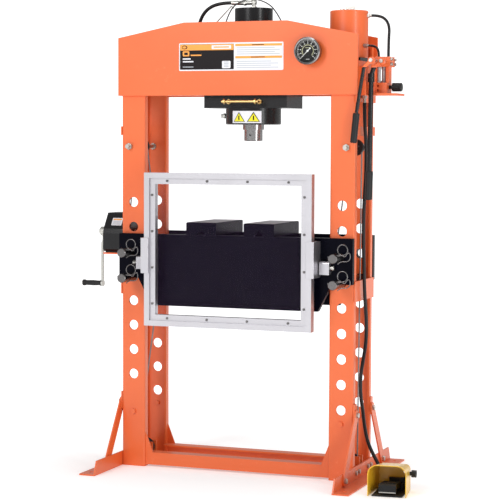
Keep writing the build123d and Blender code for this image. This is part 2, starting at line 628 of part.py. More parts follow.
with BuildPart() as carriage_handle:
    for x in (-40, 90):
        rod((x, -95, 1483), (x, -140, 1483), 5)
        rod((x - 4, -146, 1483), (x + 4, -146, 1483), 10)
        hexagon((x, -95, 1483), (x, -103, 1483), 18)
    rod((-52, -146, 1483), (102, -146, 1483), 5)
save(carriage_handle, "carriage_handle")

with BuildPart() as gland_fitting:
    rod((HEAD_X - 111, -20, 1428), (HEAD_X - 130, -20, 1428), 7)
    hexagon((HEAD_X - 113, -20, 1428), (HEAD_X - 121, -20, 1428), 18)
with BuildPart() as hose_crimp:
    rod((-66, 0, 1881), (-14, 0, 1880), 9.5)
    hexagon((-14, 0, 1880), (-4, 0, 1880), 20)
save_set([cylinder_elbow, gland_fitting, hose_crimp], "head_fittings")

# ---- pressure gauge -----------------------------------------------------------------------------
CROWN_FRONT = -FRAME_FACE - CROWN_PLATE
with BuildPart() as gauge_case:
    turned((GAUGE_X, CROWN_FRONT, GAUGE_Z), ((0, 0), (34, 0), (50, -8), (50, -36), (47, -36), (47, -24),
                                             (0, -24)), "Y")
    rod((GAUGE_X, CROWN_FRONT, GAUGE_Z), (GAUGE_X, -118, GAUGE_Z), 8.9)
with BuildPart() as gauge_dial:
    rod((GAUGE_X, CROWN_FRONT - 24, GAUGE_Z), (GAUGE_X, CROWN_FRONT - 27, GAUGE_Z), 46.8)
    rod((GAUGE_X, CROWN_FRONT - 20, GAUGE_Z), (GAUGE_X, CROWN_FRONT - 30, GAUGE_Z), 1.1, mode=Mode.SUBTRACT)
save_set([gauge_case, gauge_dial], "gauge_case")

with BuildPart() as gauge_bezel:
    turned((GAUGE_X, CROWN_FRONT, GAUGE_Z), ((50.2, -20), (53, -20), (53, -38), (49, -42), (45, -40),
                                             (45, -36.2), (50.2, -36.2)), "Y")
save(gauge_bezel, "gauge_bezel")

with BuildPart() as gauge_glass:
    rod((GAUGE_X, CROWN_FRONT - 33, GAUGE_Z), (GAUGE_X, CROWN_FRONT - 35, GAUGE_Z), 46.9)
save(gauge_glass, "gauge_glass")

with BuildPart() as gauge_needle:
    rod((GAUGE_X, CROWN_FRONT - 25, GAUGE_Z), (GAUGE_X, CROWN_FRONT - 31, GAUGE_Z), 1.05)
    rod((GAUGE_X, CROWN_FRONT - 29, GAUGE_Z), (GAUGE_X, CROWN_FRONT - 31.5, GAUGE_Z), 4)
    reach = 38
    cross = 1.6
    slope = 0.7071
    pointer = []
    for along, across in ((-16, -4), (-16, 4), (-10, cross), (reach, 0.4), (reach, -0.4), (-10, -cross)):
        x = GAUGE_X - slope * along - slope * across
        z = GAUGE_Z - slope * along + slope * across
        pointer.append((x, z))
    plate(Plane.XZ.offset(-CROWN_FRONT + 29), pointer, 1.2)
save(gauge_needle, "gauge_needle")

# ---- oil tank -----------------------------------------------------------------------------------
with BuildPart() as oil_tank:
    rod((TANK_X, 0, TANK_BOTTOM), (TANK_X, 0, TANK_TOP), TANK)
    fillet(oil_tank.edges().filter_by(GeomType.CIRCLE), 5)
    rod((TANK_X, 0, TANK_BOTTOM + 4), (TANK_X, 0, TANK_TOP - 4), TANK - 4, mode=Mode.SUBTRACT)
    for x, y, radius in ((416, 50, 12), (396, 8, 6)):
        rod((x, y, TANK_TOP - 6), (x, y, TANK_TOP + 1), radius, mode=Mode.SUBTRACT)
    rod((TANK_X + 60, 0, 1818), (TANK_X + 80, 0, 1818), 5.5, mode=Mode.SUBTRACT)
    rod((TANK_X + 55, -30, 1700), (TANK_X + 80, -30, 1700), 5, mode=Mode.SUBTRACT)
save(oil_tank, "oil_tank")

with BuildPart() as tank_plugs:
    rod((416, 50, TANK_TOP - 8), (416, 50, TANK_TOP), 12)
    rod((416, 50, TANK_TOP), (416, 50, TANK_TOP + 10), 16)
    block((398, 434), (47, 53), (TANK_TOP + 10, TANK_TOP + 22))
    rod((396, 8, TANK_TOP - 8), (396, 8, TANK_TOP), 6)
    hexagon((396, 8, TANK_TOP), (396, 8, TANK_TOP + 9), 17)
with BuildPart() as tank_fittings:
    rod((TANK_X + 66, 0, 1818), (TANK_X + 92, 0, 1818), 5.5)
    hexagon((TANK_X + TANK, 0, 1818), (TANK_X + 84, 0, 1818), 15)
    rod((TANK_X + 68, -30, 1700), (TANK_X + 90, -30, 1700), 5)
    hexagon((TANK_X + 72, -30, 1700), (TANK_X + 84, -30, 1700), 14)

# ---- hand and air pump --------------------------------------------------------------------------
LEVER_A_EYE = (563, -145, 1638)
LEVER_B_EYE = (588, -92, 1637)
with BuildPart() as pump_bracket:
    block((COLUMN_OUTER, COLUMN_OUTER + 8), (-FRAME_FACE, FRAME_FACE), (1480, TANK_BOTTOM - 12.3))
    block((COLUMN_OUTER + 8, 640), (-74, 50), (1506, 1514))
    block((COLUMN_OUTER + 8, 526), (-92, -74), (1506, 1514))
    rod((512, -64, 1500), (512, -64, 1520), 6, mode=Mode.SUBTRACT)
    rod((COLUMN_OUTER - 1, 60, 1590), (COLUMN_OUTER + 10, 60, 1590), 8, mode=Mode.SUBTRACT)
save(pump_bracket, "pump_bracket")

with BuildPart() as pump_base:
    block((532, 592), (-40, 35), (1514, 1556))
    block((532, 545), (-52, -40), (1514, 1540))
    chamfer(pump_base.edges().filter_by(Axis.Z), 2)
    for z in (1526, 1544):
        rod((558, -41, z), (558, -28, z), 5, mode=Mode.SUBTRACT)

with BuildPart() as pump_cylinders:
    rod((550, 0, 1556), (550, 0, 1617), 7)
    rod((572, 0, 1556), (572, 0, 1617), 10)
    rod((550, 0, 1556), (550, 0, 1562), 9)
    rod((572, 0, 1556), (572, 0, 1564), 13)
    rod((572, 0, 1608), (572, 0, 1617), 12)
save(pump_cylinders, "pump_cylinders")

with BuildPart() as pump_manifold:
    block((546, 606), (-45, 30), (1617, 1656))
    block((585, 597), (-25, 15), (1556, 1617))
    chamfer(pump_manifold.edges().group_by(Axis.Z)[-1], 2)

with BuildPart() as pump_screws:
    for y in (-32, 18):
        for z in (1627, 1646):
            socket_screw((614, y, z), (606, y, z), 6, 7.9, 3)
with BuildPart() as pump_side_block:
    block((COLUMN_OUTER + 8, 526), (-92, -48), (1514, 1564))
    block((COLUMN_OUTER + 8, 524), (-90, -50), (1565, 1620))
    rod((513, -70, 1564), (513, -70, 1565), 12)
    chamfer(pump_side_block.edges().group_by(Axis.Z)[-1], 2)
save_set([pump_base, pump_manifold, pump_side_block], "pump_body")

with BuildPart() as lever_pivots:
    rod((LEVER_A_EYE[0], -154, LEVER_A_EYE[2]), (LEVER_A_EYE[0], -45, LEVER_A_EYE[2]), 5)
    hexagon((LEVER_A_EYE[0], -154, LEVER_A_EYE[2]), (LEVER_A_EYE[0], -160, LEVER_A_EYE[2]), 14)
    rod((LEVER_B_EYE[0], -101, LEVER_B_EYE[2]), (LEVER_B_EYE[0], -45, LEVER_B_EYE[2]), 5)
    hexagon((LEVER_B_EYE[0], -101, LEVER_B_EYE[2]), (LEVER_B_EYE[0], -107, LEVER_B_EYE[2]), 14)
save_set([pump_screws, lever_pivots], "pump_screws")

with BuildPart() as lever_a:
    eye_x, eye_y, eye_z = LEVER_A_EYE
    rod((eye_x, eye_y - 8, eye_z), (eye_x, eye_y + 8, eye_z), 13)
    bent_tube([(eye_x - 8, eye_y, eye_z - 6), (533, eye_y, 1613), (522, eye_y, 1552), (504, eye_y, 1437)], 7, 25)
    rod((eye_x, eye_y - 9, eye_z), (eye_x, eye_y + 9, eye_z), 5.06, mode=Mode.SUBTRACT)

with BuildPart() as lever_a_grip:
    rod((503.9, eye_y, 1436.5), (493, eye_y, 1322), 13)
    fillet(lever_a_grip.edges().filter_by(GeomType.CIRCLE), 4)
save_set([lever_a, lever_a_grip], "lever_a")

with BuildPart() as lever_b:
    eye_x, eye_y, eye_z = LEVER_B_EYE
    rod((eye_x, eye_y - 8, eye_z), (eye_x, eye_y + 8, eye_z), 13)
    rod((eye_x, eye_y, eye_z), (557, eye_y, 1615), 7)
    rod((557, eye_y, 1615), (546, eye_y, 1580), 9)
    with Locations((557, eye_y, 1615)):
        Sphere(11.5)
    rod((546, eye_y, 1590), (546, eye_y, 1556), 13)
    rod((546, eye_y, 1556), (542, eye_y, 1214.4), 9.5)
    rod((eye_x, eye_y - 9, eye_z), (eye_x, eye_y + 9, eye_z), 5.06, mode=Mode.SUBTRACT)

with BuildPart() as lever_b_grip:
    rod((542, eye_y, 1214), (539, eye_y, 1102), 14.5)
    fillet(lever_b_grip.edges().filter_by(GeomType.CIRCLE), 5)
save_set([lever_b, lever_b_grip], "lever_b")

with BuildPart() as release_knob:
    rod((592.4, 0, 1539), (612, 0, 1539), 7)
    rod((606, 0, 1539), (644, 0, 1539), 17)
    fillet(release_knob.edges().filter_by(GeomType.CIRCLE).sort_by(Axis.X)[-1], 4)
    for flute in range(10):
        angle = radians(36 * flute)
        y, z = 18 * cos(angle), 1539 + 18 * sin(angle)
        rod((610, y, z), (640, y, z), 2.6, mode=Mode.SUBTRACT)
save(release_knob, "release_knob")

with BuildPart() as pedal_hose_fitting:
    rod((512, -64, 1514), (512, -64, 1478), 6)
    hexagon((512, -64, 1505), (512, -64, 1494), 19)
save_set([tank_plugs, tank_fittings, pedal_hose_fitting], "oil_fittings")

# ---- hoses --------------------------------------------------------------------------------------
hose("tank_hose", [(519, 0, 1818), (560, 0, 1818), (592, 0, 1782), (588, 0, 1718), (588, 0, 1656)], 5.5)
hose("suction_hose", [(517, -30, 1700), (538, -30, 1700), (558, -30, 1684), (558, -30, 1656)], 4.5)
hose("pressure_hose", [(-67, 0, 1881), (-128, 0, 1882), (-190, 2, 1848), (-218, 8, 1780), (-226, 40, 1690),
                       (-190, 78, 1622), (-100, 98, 1600), (40, 104, 1592), (180, 100, 1590),
                       (300, 80, 1586), (400, 62, 1588), (COLUMN_OUTER + 8, 60, 1590)], 7)
PEDAL_HOSE = [(512, -64, 1478), (512, -64, 1408), (512, -38, 1315), (512, -37, 1205), (512, -60, 1095),
              (512, -67, 985), (512, -60, 885), (512, -50, 785), (512, -36, 700), (512, -12, 612),
              (512, -18, 540), (512, -54, 475), (512, -90, 415), (512, -88, 340), (512, -56, 275),
              (512, -32, 210), (520, -12, 140), (545, 8, 75), (580, -2, 26), (630, -50, 12),
              (676, -92, 22), (680.3, -126.5, 32), (684.6, -170.3, 32)]
hose("pedal_hose", PEDAL_HOSE, 7)


hose("air_line", [(-92, -10, 1790), (-78, -10, 1836), (-44, -16, 1876), (16, -20, 1896), (78, -18, 1884),
                  (124, -10, 1850), (155, -10, 1790)], 2.5)

# ---- foot pedal ---------------------------------------------------------------------------------
def arch(plane, half_width, height, corner):
    """The outline of the pedal's hood: straight sides and a round-cornered top."""
    with BuildSketch(plane) as outline:
        with BuildLine():
            Polyline((-half_width, 0), (-half_width, height - corner))
            RadiusArc((-half_width, height - corner), (-half_width + corner, height), corner)
            Line((-half_width + corner, height), (half_width - corner, height))
            RadiusArc((half_width - corner, height), (half_width, height - corner), corner)
            Polyline((half_width, height - corner), (half_width, 0), (-half_width, 0))
        make_face()
    return outline.sketch


def across_pedal(distance):
    """The upright plane across the pedal, at a distance behind the hood's mouth."""
    return Plane(origin=PEDAL.from_local_coords((0, distance, 0)), x_dir=PEDAL.x_dir, z_dir=-PEDAL.y_dir)


with BuildPart() as pedal_hood:
    loft([arch(across_pedal(0), 74, 119, 36), arch(across_pedal(166), 62, 98, 20)])
    loft([arch(across_pedal(-1), 71, 116, 33), arch(across_pedal(163), 59, 95, 17)], mode=Mode.SUBTRACT)
    connector_hole = across_pedal(160)
    with BuildSketch(connector_hole) as ports:
        with Locations((6, 32), (44, 70)):
            Circle(8.5)
    extrude(ports.sketch, amount=-12, mode=Mode.SUBTRACT)
save(pedal_hood, "pedal_hood")

with BuildPart(PEDAL) as pedal_base:
    with Locations((0, 81, 2)):
        Box(116, 158, 4)
    with Locations((-38, 122, 16), (38, 122, 16)):
        Box(8, 26, 26)
    with Locations((0, 122, 22)):
        Cylinder(4.05, 100, rotation=(0, 90, 0), mode=Mode.SUBTRACT)
    with Locations((16, 146, 26)):
        Box(64, 16, 44)

with BuildPart(PEDAL) as pedal_pin:
    with Locations((0, 122, 22)):
        Cylinder(4, 92, rotation=(0, 90, 0))

with BuildPart(PEDAL) as pedal_treadle:
    with BuildSketch(Plane(origin=PEDAL.from_local_coords((-33, 0, 0)), x_dir=PEDAL.y_dir,
                           z_dir=PEDAL.x_dir)) as side_view:
        Polygon((12, 12), (12, 42), (20, 46), (112, 38), (127, 22), (122, 15), (112, 16), (30, 26), (24, 12),
                align=None)
    extrude(side_view.sketch, amount=66)
    with Locations((0, 122, 22)):
        Cylinder(4.06, 100, rotation=(0, 90, 0), mode=Mode.SUBTRACT)

with BuildPart(PEDAL) as pedal_screws:
    with Locations((-27, 11, 27), (27, 11, 27)):
        Cylinder(5, 2, rotation=(90, 0, 0))
save_set([pedal_treadle, pedal_screws], "pedal_treadle")

with BuildPart(PEDAL) as pedal_fittings:
    with Locations((6, 167.7, 32)):
        Cylinder(8, 19.4, rotation=(90, 0, 0))
    with Locations((70, 126, 69)):
        Cylinder(8, 8, rotation=(0, 90, 0))
    with Locations((82, 126, 69)):
        Cylinder(14, 18, rotation=(0, 90, 0))
save_set([pedal_base, pedal_pin, pedal_fittings], "pedal_base")

print(len(os.listdir("parts")), "nodes")
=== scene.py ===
from math import cos, pi, radians, sin, tau

import bmesh
import bpy
from mathutils import Matrix, Vector


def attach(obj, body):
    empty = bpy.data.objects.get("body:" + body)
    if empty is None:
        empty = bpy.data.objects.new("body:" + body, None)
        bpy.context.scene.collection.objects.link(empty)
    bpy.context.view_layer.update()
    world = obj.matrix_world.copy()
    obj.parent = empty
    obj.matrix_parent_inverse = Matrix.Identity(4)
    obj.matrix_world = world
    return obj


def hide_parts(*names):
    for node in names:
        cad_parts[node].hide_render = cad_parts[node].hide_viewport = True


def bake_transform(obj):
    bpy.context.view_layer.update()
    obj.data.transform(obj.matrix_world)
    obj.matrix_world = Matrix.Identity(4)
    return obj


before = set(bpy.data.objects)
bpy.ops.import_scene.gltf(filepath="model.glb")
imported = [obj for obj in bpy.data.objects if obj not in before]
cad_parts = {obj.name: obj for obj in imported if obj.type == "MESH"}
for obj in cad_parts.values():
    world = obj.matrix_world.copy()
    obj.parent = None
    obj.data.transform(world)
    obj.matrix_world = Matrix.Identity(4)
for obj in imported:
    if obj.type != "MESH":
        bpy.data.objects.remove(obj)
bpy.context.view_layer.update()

# ---- Camera and studio --------------------------------------------------------------------------
# The press stands on a plain pale floor in front of a white backdrop, as in a catalogue. The floor also
# glows, a painted light that grows away from the press. The camera is a long lens a little above the
# bed, to the right of the middle.
camera_data = bpy.data.cameras.new("camera")
camera_data.sensor_width = 36.0
camera_data.lens = 124.61
camera = bpy.data.objects.new("camera", camera_data)
camera.location = (2.4687, -6.525, 1.3352)
camera.rotation_euler = (radians(86.335), radians(-0.22), radians(20.62))
bpy.context.scene.collection.objects.link(camera)
bpy.context.scene.camera = camera
bpy.context.scene.view_settings.view_transform = "Standard"

world = bpy.data.worlds.new("studio")
world.use_nodes = True
sky = world.node_tree.nodes["Background"]
sky.inputs["Color"].default_value = (1.0, 1.0, 1.0, 1.0)
ray = world.node_tree.nodes.new("ShaderNodeLightPath")
sky_strength = world.node_tree.nodes.new("ShaderNodeMapRange")
sky_strength.inputs["To Min"].default_value = 0.46
sky_strength.inputs["To Max"].default_value = 1.3
world.node_tree.links.new(ray.outputs["Is Camera Ray"], sky_strength.inputs["Value"])
world.node_tree.links.new(sky_strength.outputs["Result"], sky.inputs["Strength"])
bpy.context.scene.world = world


def soft_light(name, place, target, size, power):
    """A large soft lamp that faces a point on the press."""
    data = bpy.data.lights.new(name, "AREA")
    data.shape = "RECTANGLE"
    data.size, data.size_y = size
    data.energy = power
    lamp = bpy.data.objects.new(name, data)
    lamp.location = place
    lamp.rotation_euler = (Vector(target) - Vector(place)).to_track_quat("-Z", "Y").to_euler()
    bpy.context.scene.collection.objects.link(lamp)


soft_light("key_light", (-1.6, -5.2, 3.6), (0, 0, 1.0), (1.8, 2.4), 125)
soft_light("strip_light", (3.6, -2.1, 1.5), (0, 0, 1.2), (0.45, 2.6), 45)
soft_light("top_light", (0.3, 0.6, 4.2), (0, 0, 0.8), (2.5, 1.6), 55)

FLOOR_REACH, FLOOR_LEVEL = 30, -0.0005
floor_mesh = bpy.data.meshes.new("floor")
floor_mesh.from_pydata([(FLOOR_REACH * x, FLOOR_REACH * y, FLOOR_LEVEL)
                        for x, y in ((-1, -1), (1, -1), (1, 1), (-1, 1))], [], [(0, 1, 2, 3)])
floor = bpy.data.objects.new("floor", floor_mesh)
bpy.context.scene.collection.objects.link(floor)
floor_glow_material = bpy.data.materials.new("floor_paint_and_glow")
floor_glow_material.use_nodes = True
floor_shader = floor_glow_material.node_tree.nodes["Principled BSDF"]
floor_shader.inputs["Base Color"].default_value = (0.93, 0.93, 0.93, 1)
floor_shader.inputs["Roughness"].default_value = 0.85
floor_shader.inputs["Specular IOR Level"].default_value = 0.1
# The floor glows as painted light: weakest near the press, so its shadows stay, and strongest far out, where
# it meets the white backdrop.
floor_shader.inputs["Emission Color"].default_value = (1, 1, 1, 1)
floor_nodes = floor_glow_material.node_tree
floor_place = floor_nodes.nodes.new("ShaderNodeTexCoord")
floor_reach = floor_nodes.nodes.new("ShaderNodeVectorMath")
floor_reach.operation = "LENGTH"
floor_glow = floor_nodes.nodes.new("ShaderNodeMapRange")
floor_glow.interpolation_type = "SMOOTHSTEP"
floor_glow.inputs["From Min"].default_value = 0.5
floor_glow.inputs["From Max"].default_value = 3.0
floor_glow.inputs["To Min"].default_value = 0.28
floor_glow.inputs["To Max"].default_value = 0.9
floor_nodes.links.new(floor_place.outputs["Object"], floor_reach.inputs[0])
floor_nodes.links.new(floor_reach.outputs["Value"], floor_glow.inputs["Value"])
floor_nodes.links.new(floor_glow.outputs["Result"], floor_shader.inputs["Emission Strength"])
floor_mesh.materials.append(floor_glow_material)

# ---- Hoses of the pump and the pedal ------------------------------------------------------------
# Smooth black rubber hose with a textile braid inside. The long one hangs from the pump down the
# right column, crosses the floor and screws into the back of the pedal's valve.


def shader_group(name, inputs, outputs):
    """A shader node group with named inputs and outputs, for an effect that several finishes share."""
    tree = bpy.data.node_groups.new(name, "ShaderNodeTree")
    for label, kind, value in inputs:
        socket = tree.interface.new_socket(label, in_out="INPUT", socket_type="NodeSocket" + kind)
        socket.default_value = value
    for label, kind in outputs:
        tree.interface.new_socket(label, in_out="OUTPUT", socket_type="NodeSocket" + kind)
    return tree, tree.nodes.new("NodeGroupInput"), tree.nodes.new("NodeGroupOutput")


def wire(tree, source, output, target, entry):
    tree.links.new(source.outputs[output], target.inputs[entry])


def noise_node(tree, place, scale, detail=2.0, roughness=0.5):
    noise = tree.nodes.new("ShaderNodeTexNoise")
    noise.inputs["Scale"].default_value = scale
    noise.inputs["Detail"].default_value = detail
    noise.inputs["Roughness"].default_value = roughness
    tree.links.new(place.outputs["Object"], noise.inputs["Vector"])
    return noise


def ramp_node(tree, source, output, low, high):
    """A value stretched from 0 at low to 1 at high."""
    ramp = tree.nodes.new("ShaderNodeMapRange")
    ramp.inputs["From Min"].default_value = low
    ramp.inputs["From Max"].default_value = high
    wire(tree, source, output, ramp, "Value")
    return ramp


def surface_group():
    """Colour drift, fine grain, scuffs and settled dust, shared by every finish of the press."""
    tree, given, made = shader_group(
        "worn_surface",
        [("Base", "Color", (0.5, 0.5, 0.5, 1)), ("Shade", "Color", (0.4, 0.4, 0.4, 1)),
         ("Scuff", "Color", (0.6, 0.6, 0.6, 1)), ("Scuff Amount", "Float", 0.3),
         ("Dust Amount", "Float", 0.1), ("Roughness", "Float", 0.4), ("Grain Scale", "Float", 800.0)],
        [("Color", "Color"), ("Roughness", "Float"), ("Height", "Float")])
    place = tree.nodes.new("ShaderNodeTexCoord")
    drift = noise_node(tree, place, 3.5, 3)
    scuff_noise = noise_node(tree, place, 46.0, 8, 0.72)
    patch_noise = noise_node(tree, place, 6.0, 2)
    grain = tree.nodes.new("ShaderNodeTexNoise")
    grain.inputs["Detail"].default_value = 1.0
    tree.links.new(place.outputs["Object"], grain.inputs["Vector"])
    wire(tree, given, "Grain Scale", grain, "Scale")
    tone = tree.nodes.new("ShaderNodeMix")
    tone.data_type = "RGBA"
    wire(tree, drift, "Fac", tone, "Factor")
    wire(tree, given, "Base", tone, 6)
    wire(tree, given, "Shade", tone, 7)
    marks = ramp_node(tree, scuff_noise, "Fac", 0.60, 0.72)
    patches = ramp_node(tree, patch_noise, "Fac", 0.45, 0.70)
    both = tree.nodes.new("ShaderNodeMath")
    both.operation = "MULTIPLY"
    wire(tree, marks, "Result", both, 0)
    wire(tree, patches, "Result", both, 1)
    amount = tree.nodes.new("ShaderNodeMath")
    amount.operation = "MULTIPLY"
    wire(tree, both, "Value", amount, 0)
    wire(tree, given, "Scuff Amount", amount, 1)
    scuffed = tree.nodes.new("ShaderNodeMix")
    scuffed.data_type = "RGBA"
    wire(tree, amount, "Value", scuffed, "Factor")
    tree.links.new(tone.outputs[2], scuffed.inputs[6])
    wire(tree, given, "Scuff", scuffed, 7)
    upward = tree.nodes.new("ShaderNodeNewGeometry")
    split = tree.nodes.new("ShaderNodeSeparateXYZ")
    wire(tree, upward, "Normal", split, "Vector")
    facing = ramp_node(tree, split, "Z", 0.6, 1.0)
    dusty = tree.nodes.new("ShaderNodeMath")
    dusty.operation = "MULTIPLY"
    wire(tree, facing, "Result", dusty, 0)
    wire(tree, given, "Dust Amount", dusty, 1)
    dusted = tree.nodes.new("ShaderNodeMix")
    dusted.data_type = "RGBA"
    dusted.inputs[7].default_value = (0.62, 0.60, 0.57, 1)
    wire(tree, dusty, "Value", dusted, "Factor")
    tree.links.new(scuffed.outputs[2], dusted.inputs[6])
    tree.links.new(dusted.outputs[2], made.inputs["Color"])
    rougher = tree.nodes.new("ShaderNodeMath")
    rougher.operation = "MULTIPLY_ADD"
    rougher.inputs[1].default_value = 0.12
    wire(tree, patch_noise, "Fac", rougher, 0)
    wire(tree, given, "Roughness", rougher, 2)
    worn = tree.nodes.new("ShaderNodeMath")
    worn.operation = "MULTIPLY_ADD"
    worn.inputs[1].default_value = 0.25
    wire(tree, amount, "Value", worn, 0)
    wire(tree, rougher, "Value", worn, 2)
    wire(tree, worn, "Value", made, "Roughness")
    wire(tree, grain, "Fac", made, "Height")
    return tree


worn_surface = surface_group()


def finish(name, base, shade, scuff, roughness, *, metallic=0.0, scuffing=0.25, dust=0.06, grain=800.0,
           depth=0.00002, coat=0.0, coat_roughness=0.1, specular=0.5):
    """A Principled finish whose colour, roughness and bump come from the shared worn surface."""
    material = bpy.data.materials.new(name)
    material.use_nodes = True
    tree = material.node_tree
    shader = tree.nodes["Principled BSDF"]
    worn = tree.nodes.new("ShaderNodeGroup")
    worn.node_tree = worn_surface
    worn.inputs["Base"].default_value = (*base, 1)
    worn.inputs["Shade"].default_value = (*shade, 1)
    worn.inputs["Scuff"].default_value = (*scuff, 1)
    worn.inputs["Scuff Amount"].default_value = scuffing
    worn.inputs["Dust Amount"].default_value = dust
    worn.inputs["Roughness"].default_value = roughness
    worn.inputs["Grain Scale"].default_value = grain
    bump = tree.nodes.new("ShaderNodeBump")
    bump.inputs["Distance"].default_value = depth
    wire(tree, worn, "Color", shader, "Base Color")
    wire(tree, worn, "Roughness", shader, "Roughness")
    wire(tree, worn, "Height", bump, "Height")
    wire(tree, bump, "Normal", shader, "Normal")
    shader.inputs["Metallic"].default_value = metallic
    shader.inputs["Coat Weight"].default_value = coat
    shader.inputs["Coat Roughness"].default_value = coat_roughness
    shader.inputs["Specular IOR Level"].default_value = specular
    return material


def dress(material, *nodes):
    """Give CAD nodes their finish."""
    for node in nodes:
        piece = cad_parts[node]
        piece.data.materials.clear()
        piece.data.materials.append(material)


def curve_line(name, points, radius):
    """A round cord along a smooth curve that has the given control points."""
    data = bpy.data.curves.new(name, "CURVE")
    data.dimensions = "3D"
    data.bevel_depth = radius
    data.bevel_resolution = 6
    data.use_fill_caps = True
    spline = data.splines.new("NURBS")
    spline.points.add(len(points) - 1)
    for place, point in zip(spline.points, points):
        place.co = (*point, 1)
    spline.order_u = 3
    spline.use_endpoint_u = True
    spline.resolution_u = 12
    line = bpy.data.objects.new(name, data)
    bpy.context.scene.collection.objects.link(line)
    return line


hose_rubber = finish("hose_rubber", (0.006, 0.006, 0.007), (0.010, 0.010, 0.011), (0.06, 0.06, 0.06), 0.36,
                     scuffing=0.3, dust=0.08, grain=1600, depth=0.00003, specular=0.3)

PEDAL_HOSE = [(0.512, -0.064, 1.478), (0.512, -0.064, 1.408), (0.512, -0.038, 1.315), (0.512, -0.037, 1.205),
              (0.512, -0.060, 1.095), (0.512, -0.067, 0.985), (0.512, -0.060, 0.885), (0.512, -0.050, 0.785),
              (0.512, -0.036, 0.700), (0.512, -0.012, 0.612), (0.512, -0.018, 0.540), (0.512, -0.054, 0.475),
              (0.512, -0.090, 0.415), (0.512, -0.088, 0.340), (0.512, -0.056, 0.275), (0.512, -0.032, 0.210),
              (0.520, -0.012, 0.140), (0.545, 0.008, 0.075), (0.580, -0.002, 0.026), (0.630, -0.050, 0.012),
              (0.676, -0.092, 0.022), (0.6803, -0.1265, 0.032), (0.6846, -0.1703, 0.032)]
TANK_HOSE = [(0.519, 0, 1.818), (0.560, 0, 1.818), (0.592, 0, 1.782), (0.588, 0, 1.718), (0.588, 0, 1.656)]
SUCTION_HOSE = [(0.517, -0.030, 1.700), (0.538, -0.030, 1.700), (0.558, -0.030, 1.684),
                (0.558, -0.030, 1.656)]
for cord_name, route, radius, length, far_end in (
        ("pedal_hose", PEDAL_HOSE, 0.007, 1.70, "object"),
        ("tank_hose", TANK_HOSE, 0.0055, 0.205, "object"),
        ("suction_hose", SUCTION_HOSE, 0.0045, 0.070, "object")):
    line = curve_line(cord_name + "_rubber", route, radius)
    line.data.materials.append(hose_rubber)
    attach(line, "root")
    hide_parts(cord_name)

# ---- Pressure hose and air line -----------------------------------------------------------------
# The high-pressure hose goes from the pump's manifold behind the crown, round in a loop and over the
# top to the elbow on the cylinder. The thin black air line arches over the crown beside it. The air
# line's blend lies below its lowest point, so the whole line moves with the cylinder.


def along_curve(points, count):
    """Points at equal steps along the smooth centreline of a control polygon."""
    line = curve_line("route", points, 0)
    mesh = line.to_mesh()
    corners = [vertex.co.copy() for vertex in mesh.vertices]
    line.to_mesh_clear()
    bpy.data.objects.remove(line)
    return resample(corners, count)


def resample(corners, count):
    reach = [0.0]
    for one, two in zip(corners, corners[1:]):
        reach.append(reach[-1] + (two - one).length)
    steps = []
    index = 0
    for number in range(count + 1):
        distance = reach[-1] * number / count
        while index < len(reach) - 2 and reach[index + 1] < distance:
            index += 1
        span = max(reach[index + 1] - reach[index], 1e-9)
        steps.append(corners[index].lerp(corners[index + 1], (distance - reach[index]) / span))
    return steps


def swept(name, steps, outline, twist=0.0):
    """A mesh tube: the outline, as (u, v) points, carried along the steps and turned by twist a metre."""
    rings = []
    tangent = (steps[1] - steps[0]).normalized()
    side = tangent.orthogonal().normalized()
    travelled = 0.0
    for number, step in enumerate(steps):
        before = steps[max(number - 1, 0)]
        after = steps[min(number + 1, len(steps) - 1)]
        tangent = (after - before).normalized()
        side = (side - tangent * side.dot(tangent)).normalized()
        other = tangent.cross(side)
        if number:
            travelled += (step - before).length
        turn = twist * travelled
        rings.append([step + side * (u * cos(turn) - v * sin(turn)) + other * (u * sin(turn) + v * cos(turn))
                      for u, v in outline])
    around = len(outline)
    vertices = [tuple(corner) for ring in rings for corner in ring]
    faces = []
    for number in range(len(rings) - 1):
        start = number * around
        for corner in range(around):
            ahead = (corner + 1) % around
            faces.append((start + corner, start + ahead, start + around + ahead, start + around + corner))
    faces.append(tuple(reversed(range(around))))
    faces.append(tuple(range(len(vertices) - around, len(vertices))))
    mesh = bpy.data.meshes.new(name)
    mesh.from_pydata(vertices, [], faces)
    for polygon in mesh.polygons:
        polygon.use_smooth = len(polygon.vertices) == 4
    tube = bpy.data.objects.new(name, mesh)
    bpy.context.scene.collection.objects.link(tube)
    return tube


def circle(radius, steps=20):
    return [(radius * cos(tau * k / steps), radius * sin(tau * k / steps)) for k in range(steps)]


PRESSURE_HOSE = [(-0.067, 0, 1.881), (-0.128, 0, 1.882), (-0.190, 0.002, 1.848), (-0.218, 0.008, 1.780),
                 (-0.226, 0.040, 1.690), (-0.190, 0.078, 1.622), (-0.100, 0.098, 1.600),
                 (0.040, 0.104, 1.592), (0.180, 0.100, 1.590), (0.300, 0.080, 1.586), (0.400, 0.062, 1.588),
                 (0.501, 0.060, 1.590)]
pressure_hose = swept("pressure_hose_rubber", along_curve(PRESSURE_HOSE, 300), circle(0.007))
pressure_hose.data.materials.append(hose_rubber)
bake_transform(pressure_hose)
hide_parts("pressure_hose")

AIR_LINE = [(-0.092, -0.010, 1.790), (-0.078, -0.010, 1.836), (-0.044, -0.016, 1.876),
            (0.016, -0.020, 1.896), (0.078, -0.018, 1.884), (0.124, -0.010, 1.850), (0.155, -0.010, 1.790)]
air_line = swept("air_line_tube", along_curve(AIR_LINE, 120), circle(0.0025, 14))
air_line.data.materials.append(finish("air_tube", (0.02, 0.02, 0.022), (0.03, 0.03, 0.032), (0.1, 0.1, 0.1),
                                      0.28, grain=2500))
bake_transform(air_line)
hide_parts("air_line")

